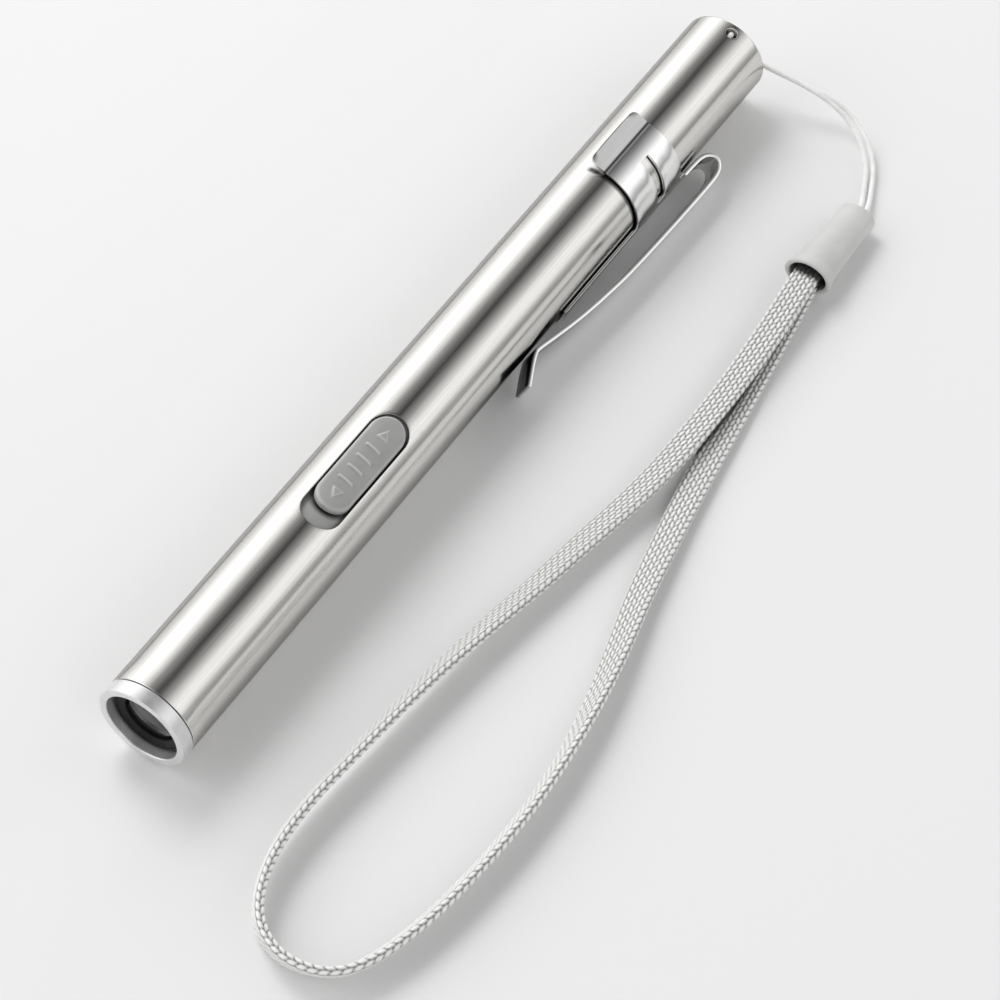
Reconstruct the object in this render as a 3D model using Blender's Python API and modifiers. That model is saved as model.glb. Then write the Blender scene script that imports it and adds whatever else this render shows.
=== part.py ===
"""A slim stainless pen torch for two AAA cells, with a thumb slide switch, a spring pocket clip
and a woven wrist strap. It lies on its side along X, head towards -X, on the plane z = 0.

Metres, +Z up. The origin is the middle of the torch's footprint, without the string and strap.
"""

import math

import bmesh
import bpy
from mathutils import Vector

MM = 0.001

# The tube. Every length along the torch is counted from the head's front face.
LENGTH = 140.0 * MM
BODY_RADIUS = 6.5 * MM
BORE_RADIUS = 6.05 * MM
GAP = 0.3 * MM
ROUND_STEPS = 64
SMALL_STEPS = 32

# How the torch lies: on its clip collar, rolled until the clip's arm is near the table.
AXIS_Y = 1.79 * MM
AXIS_Z = 7.1 * MM
SWITCH_ANGLE = math.radians(108)
CLIP_ANGLE = math.radians(207)
LANYARD_ANGLE = math.radians(106)

# The head.
BEZEL_LENGTH = 2.05 * MM
BEZEL_BORE = 5.4 * MM
RETAINER_FRONT = 1.3 * MM
RETAINER_BORE = 3.75 * MM
SPIGOT_RADIUS = 5.8 * MM
SPIGOT_END = 8.0 * MM
INNER_RADIUS = 5.0 * MM

# The slide switch.
SLOT_CENTRE = 44.05 * MM
SLOT_LENGTH = 20.4 * MM
SLOT_WIDTH = 5.7 * MM
BUTTON_LENGTH = 16.75 * MM
BUTTON_WIDTH = 5.1 * MM
BUTTON_TOP = 7.25 * MM
BUTTON_BOTTOM = 6.0 * MM
BUTTON_TAIL_GAP = 0.75 * MM
BUTTON_CENTRE = SLOT_CENTRE + (SLOT_LENGTH - BUTTON_LENGTH) / 2 - BUTTON_TAIL_GAP
CARRIER_INNER = 5.3 * MM
CARRIER_OUTER = 5.7 * MM

# The two cells, nub towards the head.
CELL_START = 41.2 * MM
CELL_PITCH = 44.1 * MM
CELL_LENGTH = 43.8 * MM
NUB_LENGTH = 0.7 * MM
NUB_RADIUS = 1.9 * MM

# The tail.
PLUG_START = 134.9 * MM
PLUG_RADIUS = 5.75 * MM
PLUG_BORE = 2.0 * MM
PLUG_FLOOR = 136.4 * MM
LANYARD_HOLE = 138.3 * MM
LANYARD_HOLE_RADIUS = 0.9 * MM
SPRING_WIRE = 0.3 * MM
SPRING_TURNS = 3.5

# The clip, one stamping for the collar and its base strip, and the bent arm.
SHEET = 0.4 * MM
STRIP = 0.6 * MM
CLIP_WIDTH = 4.2 * MM
COLLAR_RADIUS = 6.9 * MM
COLLAR_START = 104.9 * MM
COLLAR_END = 116.2 * MM
BASE_START = 86.5 * MM
BASE_END = 118.6 * MM
WINDOW_START = 110.1 * MM
WINDOW_END = 112.0 * MM
LIP_ANGLE = math.radians(103.5)
LIP_LENGTH = 3.1 * MM
LIP_RISE = math.radians(14)
WINDOW_FROM = math.radians(21)
WINDOW_TO = math.radians(83)
CLIP_PIVOT = BASE_END + GAP

# The string and strap.
STRING_DIAMETER = 0.72 * MM
STRAP_WIDTH = 4.0 * MM
STRAP_THICKNESS = 1.3 * MM
FERRULE_LENGTH = 14.5 * MM
FERRULE_FLATNESS = 0.76
FERRULE_MOUTH = (42.6 * MM, -28.15 * MM)
FERRULE_MOUTH_RADIUS = 3.65 * MM
FERRULE_BACK_RADIUS = 2.78 * MM

# The route of the doubled string, in millimetres, from the tail down to the table and along to
# the back of the ferrule, and the turn in degrees of the line from one strand to the other:
# one strand under the other at the tail, then side by side.
STRING_ROUTE = (
    (67.6, 1.8, 7.1, -54),
    (69.5, 1.6, 7.1, -54),
    (70.9, 0.1, 7.0, -54),
    (71.3, -2.2, 6.75, -54),
    (71.4, -4.8, 6.4, -54),
    (71.8, -8.0, 5.8, -50),
    (72.4, -11.2, 4.9, -38),
    (72.9, -14.2, 3.9, -20),
    (72.7, -17.0, 3.0, -8),
    (71.6, -19.7, 2.2, -2),
    (69.9, -22.1, 1.5, 0),
    (67.0, -24.5, 0.95, 0),
    (63.3, -26.3, 0.75, 0),
    (60.0, -27.6, 1.1, 0),
    (57.1, -28.1, 2.0, 0),
    (55.8, -28.15, 2.15, 0),
)
STRAND_PITCH = 1.04 * MM

# The strap's centreline, in millimetres, then the turn of its flat section in degrees: flat
# where it leaves the ferrule on top, on edge round the far end, and flat again underneath.
STRAP_ROUTE = (
    (45.5, -28.15, 3.35, 0),
    (42.5, -28.2, 3.45, 0),
    (38.5, -28.5, 3.3, 0),
    (34.0, -28.8, 2.95, 0),
    (27.0, -29.2, 2.7, 2),
    (19.0, -29.5, 2.65, 5),
    (11.0, -29.4, 2.6, 9),
    (3.5, -28.9, 2.35, 16),
    (-3.5, -28.0, 2.0, 20),
    (-12.0, -26.6, 2.0, 26),
    (-21.0, -25.3, 2.2, 32),
    (-30.0, -23.8, 2.5, 38),
    (-39.0, -22.5, 2.9, 46),
    (-48.0, -21.5, 3.1, 52),
    (-57.0, -20.7, 3.1, 57),
    (-65.0, -20.1, 3.0, 61),
    (-71.5, -20.3, 2.8, 66),
    (-76.5, -21.4, 2.6, 73),
    (-80.5, -23.3, 2.5, 80),
    (-83.1, -25.9, 2.3, 89),
    (-84.3, -29.0, 2.2, 99),
    (-84.3, -32.0, 2.15, 108),
    (-83.3, -35.0, 2.15, 115),
    (-81.2, -37.4, 2.15, 118),
    (-77.5, -39.3, 2.15, 120),
    (-71.5, -41.0, 2.15, 121),
    (-64.5, -42.1, 2.15, 121),
    (-56.5, -42.8, 2.15, 120),
    (-48.5, -42.9, 2.15, 120),
    (-40.5, -42.3, 2.15, 123),
    (-32.0, -41.0, 2.05, 133),
    (-24.0, -39.2, 1.8, 145),
    (-16.0, -37.2, 1.5, 155),
    (-8.0, -35.6, 1.25, 163),
    (2.0, -33.8, 1.0, 172),
    (14.0, -32.0, 0.9, 178),
    (26.0, -30.3, 0.9, 180),
    (36.0, -29.0, 1.15, 180),
    (42.0, -28.25, 1.85, 180),
    (45.5, -28.15, 1.75, 180),
)


def clear_scene():
    for thing in list(bpy.data.objects):
        bpy.data.objects.remove(thing, do_unlink=True)


def make_collection(name):
    collection = bpy.data.collections.new(name)
    bpy.context.scene.collection.children.link(collection)
    return collection


clear_scene()
PARTS = make_collection("pen_torch")
CUTTERS = make_collection("cutters")


def make_material(name, colour, roughness, metallic=0.0, alpha=1.0):
    material = bpy.data.materials.new(name)
    material.use_nodes = True
    shader = material.node_tree.nodes["Principled BSDF"]
    shader.inputs["Base Color"].default_value = (*colour, 1.0)
    shader.inputs["Roughness"].default_value = roughness
    shader.inputs["Metallic"].default_value = metallic
    shader.inputs["Alpha"].default_value = alpha
    return material


STAINLESS = make_material("brushed_stainless", (0.62, 0.61, 0.59), 0.28, 1.0)
POLISHED = make_material("polished_ring", (0.8, 0.8, 0.8), 0.12, 1.0)
SPRING_STEEL = make_material("spring_steel", (0.72, 0.72, 0.71), 0.3, 1.0)
GREY_PLASTIC = make_material("grey_plastic", (0.27, 0.27, 0.265), 0.45)
BLACK_PLASTIC = make_material("black_plastic", (0.012, 0.012, 0.013), 0.35)
PALE_PLASTIC = make_material("pale_plastic", (0.66, 0.66, 0.65), 0.4)
GLASS = make_material("lens_glass", (0.05, 0.05, 0.055), 0.05, 0.0, 0.6)
RUBBER = make_material("black_rubber", (0.02, 0.02, 0.02), 0.7)
BRASS = make_material("brass", (0.72, 0.52, 0.24), 0.3, 1.0)
MIRROR = make_material("reflector_mirror", (0.85, 0.85, 0.86), 0.05, 1.0)
BOARD = make_material("circuit_board", (0.85, 0.86, 0.84), 0.5)
EMITTER = make_material("led_phosphor", (0.85, 0.75, 0.2), 0.4)
CELL_WRAP = make_material("cell_wrap", (0.12, 0.2, 0.34), 0.35)
NYLON = make_material("nylon_string", (0.85, 0.85, 0.84), 0.3)
BRAID = make_material("woven_braid", (0.62, 0.62, 0.61), 0.6)


def make_axis():
    """The torch's own frame: its local Z runs along the tube from the head, its local X is +Y."""
    axis = bpy.data.objects.new("torch_axis", None)
    PARTS.objects.link(axis)
    axis.location = (-LENGTH / 2, AXIS_Y, AXIS_Z)
    axis.rotation_euler = (math.pi / 2, 0.0, math.pi / 2)
    return axis


AXIS = make_axis()


def make_station(name, along, angle=0.0, radius=0.0):
    """An empty on the torch's axis, turned about it, that holds the pieces of one mechanism."""
    station = bpy.data.objects.new(name, None)
    PARTS.objects.link(station)
    station.parent = AXIS
    station.location = (radius * math.cos(angle), radius * math.sin(angle), along)
    station.rotation_euler.z = angle
    return station


def add_object(name, mesh, material, parent=None, collection=PARTS):
    thing = bpy.data.objects.new(name, mesh)
    collection.objects.link(thing)
    thing.parent = parent
    if material:
        mesh.materials.append(material)
    return thing


def smooth(thing, degrees=35):
    mesh = thing.data
    mesh.shade_smooth()
    mesh.set_sharp_from_angle(angle=math.radians(degrees))


def turned(name, profile, material, parent=AXIS, steps=ROUND_STEPS, collection=PARTS):
    """A solid of revolution about the torch's axis. The profile is a closed ring of
    (radius, along) points, with the outer side running from the tail towards the head."""
    mesh = bpy.data.meshes.new(name)
    shape = bmesh.new()
    corners = [shape.verts.new((radius, 0.0, along)) for radius, along in profile]
    touches_axis = any(radius == 0.0 for radius, _ in profile)
    pairs = list(zip(corners, corners[1:]))
    if not touches_axis:
        pairs.append((corners[-1], corners[0]))
    for first, second in pairs:
        shape.edges.new((first, second))
    shape.to_mesh(mesh)
    shape.free()
    thing = add_object(name, mesh, material, parent, collection)
    screw = thing.modifiers.new("turn", "SCREW")
    screw.axis = "Z"
    screw.angle = 2 * math.pi
    screw.steps = steps
    screw.render_steps = steps
    screw.use_merge_vertices = True
    screw.merge_threshold = 0.00001
    screw.use_smooth_shade = True
    return thing


def tube(name, inner, outer, start, end, material, parent=AXIS, steps=ROUND_STEPS, collection=PARTS):
    profile = [(outer, end), (outer, start), (inner, start), (inner, end)]
    return turned(name, profile, material, parent, steps, collection)


def rod(name, radius, start, end, material, parent=AXIS, steps=SMALL_STEPS, collection=PARTS):
    profile = [(0.0, end), (radius, end), (radius, start), (0.0, start)]
    return turned(name, profile, material, parent, steps, collection)


def helper(thing):
    thing.hide_render = True
    thing.display_type = "WIRE"
    return thing


def boolean(thing, cutter, operation="DIFFERENCE"):
    modifier = thing.modifiers.new("boolean_" + cutter.name, "BOOLEAN")
    modifier.operation = operation
    modifier.object = cutter
    modifier.solver = "EXACT"


def box_cutter(name, low, high, parent):
    """A box from corner to corner in its parent's frame."""
    mesh = bpy.data.meshes.new(name)
    shape = bmesh.new()
    bmesh.ops.create_cube(shape, size=1.0)
    size = [high[i] - low[i] for i in range(3)]
    bmesh.ops.scale(shape, vec=size, verts=shape.verts)
    centre = [(high[i] + low[i]) / 2 for i in range(3)]
    bmesh.ops.translate(shape, vec=centre, verts=shape.verts)
    shape.to_mesh(mesh)
    shape.free()
    return helper(add_object(name, mesh, None, parent, CUTTERS))


def drill(name, radius, start, end, parent):
    """A round cutter along its parent's local X, from one radius of the torch to another."""
    mesh = bpy.data.meshes.new(name)
    shape = bmesh.new()
    bmesh.ops.create_cone(
        shape, cap_ends=True, segments=SMALL_STEPS, radius1=radius, radius2=radius, depth=end - start
    )
    shape.to_mesh(mesh)
    shape.free()
    cutter = helper(add_object(name, mesh, None, parent, CUTTERS))
    cutter.rotation_euler.y = math.pi / 2
    cutter.location.x = (start + end) / 2
    return cutter


def obround(name, length, width, start, end, material, parent, collection):
    """A slab with round ends, long along the torch, that stands from one radius to another."""
    curve = bpy.data.curves.new(name + "_outline", "CURVE")
    curve.dimensions = "2D"
    curve.fill_mode = "BOTH"
    curve.extrude = (end - start) / 2
    outline = curve.splines.new("POLY")
    points = []
    reach = (length - width) / 2
    half_turn = 16
    for side in (0, 1):
        for step in range(half_turn + 1):
            turn = math.pi * (step / half_turn + side)
            points.append((width / 2 * math.cos(turn), width / 2 * math.sin(turn) + (reach, -reach)[side]))
    outline.points.add(len(points) - 1)
    for point, (across, along) in zip(outline.points, points):
        point.co = (across, along, 0.0, 1.0)
    outline.use_cyclic_u = True
    guide = bpy.data.objects.new(name + "_guide", curve)
    CUTTERS.objects.link(guide)
    graph = bpy.context.evaluated_depsgraph_get()
    mesh = bpy.data.meshes.new_from_object(guide.evaluated_get(graph))
    bpy.data.objects.remove(guide, do_unlink=True)
    shape = bmesh.new()
    shape.from_mesh(mesh)
    bmesh.ops.remove_doubles(shape, verts=shape.verts, dist=0.000001)
    bmesh.ops.recalc_face_normals(shape, faces=shape.faces)
    shape.to_mesh(mesh)
    shape.free()
    mesh.name = name
    slab = add_object(name, mesh, material, parent, collection)
    slab.rotation_euler = (math.pi / 2, 0.0, math.pi / 2)
    slab.location.x = (start + end) / 2
    return slab


def curved_plate(name, inner, outer, start, end, width, material, station):
    """A strip that follows the bore: part of a tube, cut to a width by a box. The tube keeps
    its own station so that the strip moves with it."""
    strip = tube(name, inner, outer, start, end, material, station)
    margin = 1.0 * MM
    low = (0.0, -width / 2, start - margin)
    high = (outer + margin, width / 2, end + margin)
    boolean(strip, box_cutter(name + "_trim", low, high, station), "INTERSECT")
    return strip


def spline_value(before, start, end, after, t):
    """The Catmull-Rom curve from start to end, at a share t of the way."""
    slope = end - before
    square = 2 * before - 5 * start + 4 * end - after
    cube = 3 * start - before - 3 * end + after
    return 0.5 * (2 * start + slope * t + square * t**2 + cube * t**3)


def smooth_route(points, spacing):
    """Points at an even spacing on the Catmull-Rom curve through the given ones. A point may
    carry more values after its three coordinates, and they are blended the same way."""
    fine = []
    padded = [points[0], *points, points[-1]]
    pieces = 12
    for index in range(len(points) - 1):
        values = list(zip(*padded[index : index + 4]))
        for step in range(pieces):
            fine.append([spline_value(*four, step / pieces) for four in values])
    fine.append(list(points[-1]))
    reached = [0.0]
    for here, there in zip(fine, fine[1:]):
        reached.append(reached[-1] + (Vector(there[:3]) - Vector(here[:3])).length)
    count = max(2, round(reached[-1] / spacing))
    result = []
    place = 0
    for number in range(count + 1):
        target = reached[-1] * number / count
        while place < len(reached) - 2 and reached[place + 1] < target:
            place += 1
        share = (target - reached[place]) / (reached[place + 1] - reached[place])
        result.append([a + (b - a) * share for a, b in zip(fine[place], fine[place + 1])])
    return result


def route_curve(name, points, material, depth=0.0, section=None, parent=None):
    """A cord along its points: round with a bevel depth, or with the flat section given. A
    fourth value of a point is the section's turn in degrees."""
    curve = bpy.data.curves.new(name, "CURVE")
    curve.dimensions = "3D"
    curve.twist_mode = "Z_UP"
    curve.use_fill_caps = True
    curve.bevel_resolution = 2
    if section:
        curve.bevel_mode = "OBJECT"
        curve.bevel_object = section
    else:
        curve.bevel_depth = depth
    line = curve.splines.new("POLY")
    line.points.add(len(points) - 1)
    for point, values in zip(line.points, points):
        point.co = (*values[:3], 1.0)
        point.tilt = math.radians(values[3]) if len(values) > 3 else 0.0
    curve.materials.append(material)
    cord = bpy.data.objects.new(name, curve)
    PARTS.objects.link(cord)
    cord.parent = parent
    return cord


def in_metres(route):
    return [[values[0] * MM, values[1] * MM, values[2] * MM, *values[3:]] for values in route]


def beside(points, distance):
    """The same route moved sideways. A point's fourth value turns that side up, in degrees."""
    moved = []
    for index, point in enumerate(points):
        before = Vector(points[max(0, index - 1)][:3])
        after = Vector(points[min(len(points) - 1, index + 1)][:3])
        along = (after - before).normalized()
        side = Vector((0.0, 0.0, 1.0)).cross(along).normalized()
        up = along.cross(side)
        turn = math.radians(point[3])
        shift = side * math.cos(turn) + up * math.sin(turn)
        moved.append([*(Vector(point[:3]) + shift * distance)])
    return moved


# ---------------------------------------------------------------- the tube


def make_barrel():
    edge = 0.25 * MM
    start = BEZEL_LENGTH + GAP / 2
    profile = [
        (BORE_RADIUS, LENGTH),
        (BODY_RADIUS - edge, LENGTH),
        (BODY_RADIUS, LENGTH - edge),
        (BODY_RADIUS, start),
        (BORE_RADIUS, start),
    ]
    barrel = turned("barrel", profile, STAINLESS)
    switch_seat = make_station("slot_station", SLOT_CENTRE, SWITCH_ANGLE)
    slot = obround(
        "slot_cutter", SLOT_LENGTH, SLOT_WIDTH, 4.0 * MM, 8.0 * MM, None, switch_seat, CUTTERS
    )
    boolean(barrel, helper(slot))
    return barrel


def make_tail(barrel):
    """The plug that closes the tail, with the blind bore that the string comes out of and the
    cross hole that meets it."""
    edge = 0.2 * MM
    profile = [
        (0.0, PLUG_FLOOR),
        (PLUG_BORE, PLUG_FLOOR),
        (PLUG_BORE, LENGTH - edge),
        (PLUG_BORE + edge, LENGTH),
        (PLUG_RADIUS, LENGTH),
        (PLUG_RADIUS, PLUG_START),
        (0.0, PLUG_START),
    ]
    plug = turned("tail_plug", profile, STAINLESS)
    station = make_station("lanyard_station", LANYARD_HOLE, LANYARD_ANGLE)
    hole = drill("lanyard_cutter", LANYARD_HOLE_RADIUS, 0.4 * MM, 8.0 * MM, station)
    boolean(plug, hole)
    boolean(barrel, hole)

    plate_start = 134.2 * MM
    rod("spring_plate", 5.6 * MM, plate_start, plate_start + 0.4 * MM, BRASS)

    front = CELL_START + CELL_PITCH + CELL_LENGTH + GAP + SPRING_WIRE
    back = plate_start - GAP - SPRING_WIRE
    turns = []
    per_turn = 14
    count = round(SPRING_TURNS * per_turn)
    for number in range(count + 1):
        share = number / count
        turn = 2 * math.pi * SPRING_TURNS * share
        radius = (2.4 + 1.9 * share) * MM
        turns.append((radius * math.cos(turn), radius * math.sin(turn), front + (back - front) * share))
    route_curve("tail_spring", turns, SPRING_STEEL, SPRING_WIRE, parent=AXIS)


# ---------------------------------------------------------------- the head


def make_head():
    """The bezel with its lens turns about the tube's axis. The lamp unit behind it only slides."""
    bezel_station = make_station("bezel_station", 0.0)
    edge = 0.15 * MM
    profile = [
        (SPIGOT_RADIUS, SPIGOT_END),
        (SPIGOT_RADIUS, BEZEL_LENGTH),
        (BODY_RADIUS, BEZEL_LENGTH),
        (BODY_RADIUS, edge),
        (BODY_RADIUS - edge, 0.0),
        (BEZEL_BORE, 0.0),
        (BEZEL_BORE, SPIGOT_END),
    ]
    turned("bezel_ring", profile, POLISHED, bezel_station)
    retainer = [
        (5.1 * MM, 2.6 * MM),
        (5.1 * MM, RETAINER_FRONT),
        (4.85 * MM, RETAINER_FRONT),
        (4.75 * MM, 1.5 * MM),
        (RETAINER_BORE, 1.72 * MM),
        (RETAINER_BORE, 2.6 * MM),
    ]
    turned("lens_retainer", retainer, BLACK_PLASTIC, bezel_station)
    dome = 0.3 * MM
    flange_front = 2.9 * MM
    lens_radius = RETAINER_BORE - GAP
    lens_edge = 2.1 * MM
    lens = [(0.0, 4.0 * MM), (5.0 * MM, 4.0 * MM), (5.0 * MM, flange_front), (lens_radius, flange_front)]
    dome_steps = 8
    for step in range(dome_steps, -1, -1):
        share = step / dome_steps
        lens.append((lens_radius * share, lens_edge - dome * (1 - share**2)))
    turned("lens", lens, GLASS, bezel_station, SMALL_STEPS)
    tube("lens_gasket", 4.4 * MM, 5.0 * MM, 4.3 * MM, 4.9 * MM, RUBBER, bezel_station, SMALL_STEPS)

    shoulder = 5.2 * MM
    cup = [
        (INNER_RADIUS, 7.3 * MM),
        (INNER_RADIUS, shoulder),
        (4.5 * MM, shoulder),
        (3.7 * MM, 6.1 * MM),
        (2.6 * MM, 6.9 * MM),
        (1.9 * MM, 7.3 * MM),
    ]
    turned("reflector", cup, MIRROR, AXIS, SMALL_STEPS)
    emitter_mesh = bpy.data.meshes.new("led_emitter")
    shape = bmesh.new()
    bmesh.ops.create_cube(shape, size=1.8 * MM)
    bmesh.ops.scale(shape, vec=(1.0, 1.0, 0.35), verts=shape.verts)
    shape.to_mesh(emitter_mesh)
    shape.free()
    emitter = add_object("led_emitter", emitter_mesh, EMITTER, AXIS)
    emitter.location.z = 6.9 * MM
    rod("led_board", INNER_RADIUS, 7.6 * MM, 8.4 * MM, BOARD)
    rod("led_pill", INNER_RADIUS, 8.7 * MM, 14.0 * MM, BRASS)
    core_start = 14.3 * MM
    core_end = 38.2 * MM
    core = [
        (0.0, core_end),
        (INNER_RADIUS, core_end),
        (INNER_RADIUS, core_start),
        (4.0 * MM, core_start),
        (4.0 * MM, core_end - 1.5 * MM),
        (0.0, core_end - 1.5 * MM),
    ]
    turned("head_core", core, BLACK_PLASTIC, AXIS, SMALL_STEPS)
    board_mesh = bpy.data.meshes.new("driver_board")
    shape = bmesh.new()
    bmesh.ops.create_cube(shape, size=1.0)
    bmesh.ops.scale(shape, vec=(7.0 * MM, 1.0 * MM, 20.0 * MM), verts=shape.verts)
    shape.to_mesh(board_mesh)
    shape.free()
    board = add_object("driver_board", board_mesh, BOARD, AXIS)
    board.location.z = 25.2 * MM
    rod("front_contact", 1.6 * MM, core_end + GAP, CELL_START - GAP, BRASS)


# ---------------------------------------------------------------- the switch


def make_switch():
    """The button and what slides with it, on a station at the slot. The pieces are placed from
    the head's face, so the station sits on the axis there."""
    station = make_station("switch_station", 0.0, SWITCH_ANGLE)
    button_seat = make_station("button_station", BUTTON_CENTRE, SWITCH_ANGLE)
    button = obround(
        "switch_button", BUTTON_LENGTH, BUTTON_WIDTH, 5.0 * MM, 8.5 * MM, GREY_PLASTIC, button_seat, PARTS
    )
    shell = tube(
        "button_shell", BUTTON_BOTTOM, BUTTON_TOP, 30.0 * MM, 60.0 * MM, None, station, 96, CUTTERS
    )
    boolean(button, helper(shell), "INTERSECT")
    carrier_start = 31.5 * MM
    carrier_end = 57.5 * MM
    carrier_width = 6.4 * MM
    curved_plate(
        "switch_carrier", CARRIER_INNER, CARRIER_OUTER, carrier_start, carrier_end, carrier_width,
        GREY_PLASTIC, station,
    )
    strip_width = 2.4 * MM
    wiper_start = 26.0 * MM
    curved_plate(
        "switch_wiper", CARRIER_INNER, 5.6 * MM, wiper_start, carrier_start - GAP, strip_width, BRASS, station
    )
    curved_plate(
        "switch_contact", CARRIER_INNER, 5.6 * MM, 17.0 * MM, wiper_start - 2.9 * MM, strip_width, BRASS, station
    )


# ---------------------------------------------------------------- the cells


def make_cells():
    for number, place in enumerate(("front", "rear")):
        start = CELL_START + CELL_PITCH * number
        rod(f"cell_{place}_cap", NUB_RADIUS, start, start + NUB_LENGTH, SPRING_STEEL)
        can_start = start + NUB_LENGTH + GAP
        edge = 0.4 * MM
        end = start + CELL_LENGTH
        profile = [
            (0.0, end),
            (INNER_RADIUS - edge, end),
            (INNER_RADIUS, end - edge),
            (INNER_RADIUS, can_start + edge),
            (INNER_RADIUS - edge, can_start),
            (0.0, can_start),
        ]
        turned(f"cell_{place}_can", profile, CELL_WRAP, AXIS, SMALL_STEPS)


# ---------------------------------------------------------------- the clip


def collar_section():
    """The collar's half section from the middle of the base strip to the free lip, as
    (outward, sideways) points, each with its angle round the torch."""
    seat = math.asin(CLIP_WIDTH / 2 / COLLAR_RADIUS)
    strip_steps = 3
    steps = 14
    angles = [seat * step / strip_steps for step in range(strip_steps)]
    angles += [seat + (LIP_ANGLE - seat) * step / steps for step in range(steps + 1)]
    points = [(COLLAR_RADIUS * math.cos(angle), COLLAR_RADIUS * math.sin(angle), angle) for angle in angles]
    heading = LIP_ANGLE + math.pi / 2 - LIP_RISE
    across, side, _ = points[-1]
    lip_steps = 3
    for step in range(1, lip_steps + 1):
        reach = LIP_LENGTH * step / lip_steps
        points.append(
            (across + reach * math.cos(heading), side + reach * math.sin(heading), LIP_ANGLE + 0.1 * step)
        )
    return points


def make_clip():
    """The collar and base strip are one sheet: a grid of faces, with the window left out, made
    thick by Solidify. The arm is a strip along its side view."""
    station = make_station("collar_station", 0.0, CLIP_ANGLE)
    half = collar_section()
    section = [(across, -side, -angle) for across, side, angle in reversed(half[1:])] + half
    rows = [BASE_START, COLLAR_START, WINDOW_START, WINDOW_END, COLLAR_END, BASE_END]
    window_row = rows.index(WINDOW_START)
    mesh = bpy.data.meshes.new("clip_collar")
    shape = bmesh.new()
    grid = [[shape.verts.new((across, side, along)) for across, side, _ in section] for along in rows]
    strip_reach = math.asin(CLIP_WIDTH / 2 / COLLAR_RADIUS) + 0.001
    for row in range(len(rows) - 1):
        in_collar = COLLAR_START <= rows[row] < COLLAR_END
        for column in range(len(section) - 1):
            middle = abs(section[column][2] + section[column + 1][2]) / 2
            if not in_collar and middle > strip_reach:
                continue
            if row == window_row and WINDOW_FROM < middle < WINDOW_TO:
                continue
            corners = (grid[row][column], grid[row][column + 1], grid[row + 1][column + 1], grid[row + 1][column])
            shape.faces.new(corners)
    bmesh.ops.delete(shape, geom=[v for v in shape.verts if not v.link_faces], context="VERTS")
    bmesh.ops.recalc_face_normals(shape, faces=shape.faces)
    shape.to_mesh(mesh)
    shape.free()
    collar = add_object("clip_collar", mesh, SPRING_STEEL, station)
    thicken(collar, SHEET)

    arm_route = (
        (CLIP_PIVOT, 7.0),
        (120.2 * MM, 7.0),
        (121.2 * MM, 7.08),
        (122.1 * MM, 7.3),
        (122.8 * MM, 7.7),
        (123.25 * MM, 8.25),
        (123.35 * MM, 8.8),
        (123.15 * MM, 9.35),
        (122.6 * MM, 9.85),
        (121.8 * MM, 10.2),
        (120.6 * MM, 10.38),
        (118.0 * MM, 10.42),
        (113.0 * MM, 10.34),
        (107.0 * MM, 10.18),
        (102.0 * MM, 10.0),
        (98.0 * MM, 9.8),
        (94.5 * MM, 9.48),
        (91.0 * MM, 9.1),
        (87.0 * MM, 8.53),
        (83.0 * MM, 7.78),
        (80.4 * MM, 7.25),
        (79.1 * MM, 7.06),
        (78.2 * MM, 7.25),
        (76.8 * MM, 7.85),
        (75.1 * MM, 8.7),
        (73.8 * MM, 9.35),
    )
    pivot_radius = COLLAR_RADIUS
    pivot = make_station("clip_pivot", CLIP_PIVOT, CLIP_ANGLE, pivot_radius)
    mesh = bpy.data.meshes.new("clip_arm")
    shape = bmesh.new()
    rows = []
    for along, outward in arm_route:
        place = (outward * MM - pivot_radius, along - CLIP_PIVOT)
        rows.append([shape.verts.new((place[0], side, place[1])) for side in (-CLIP_WIDTH / 2, CLIP_WIDTH / 2)])
    for here, there in zip(rows, rows[1:]):
        shape.faces.new((here[0], here[1], there[1], there[0]))
    shape.to_mesh(mesh)
    shape.free()
    arm = add_object("clip_arm", mesh, SPRING_STEEL, pivot)
    thicken(arm, STRIP)


def thicken(thing, thickness):
    solidify = thing.modifiers.new("sheet", "SOLIDIFY")
    solidify.thickness = thickness
    solidify.offset = 0.0
    solidify.use_even_offset = True
    smooth(thing)


# ---------------------------------------------------------------- string, ferrule and strap


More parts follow.
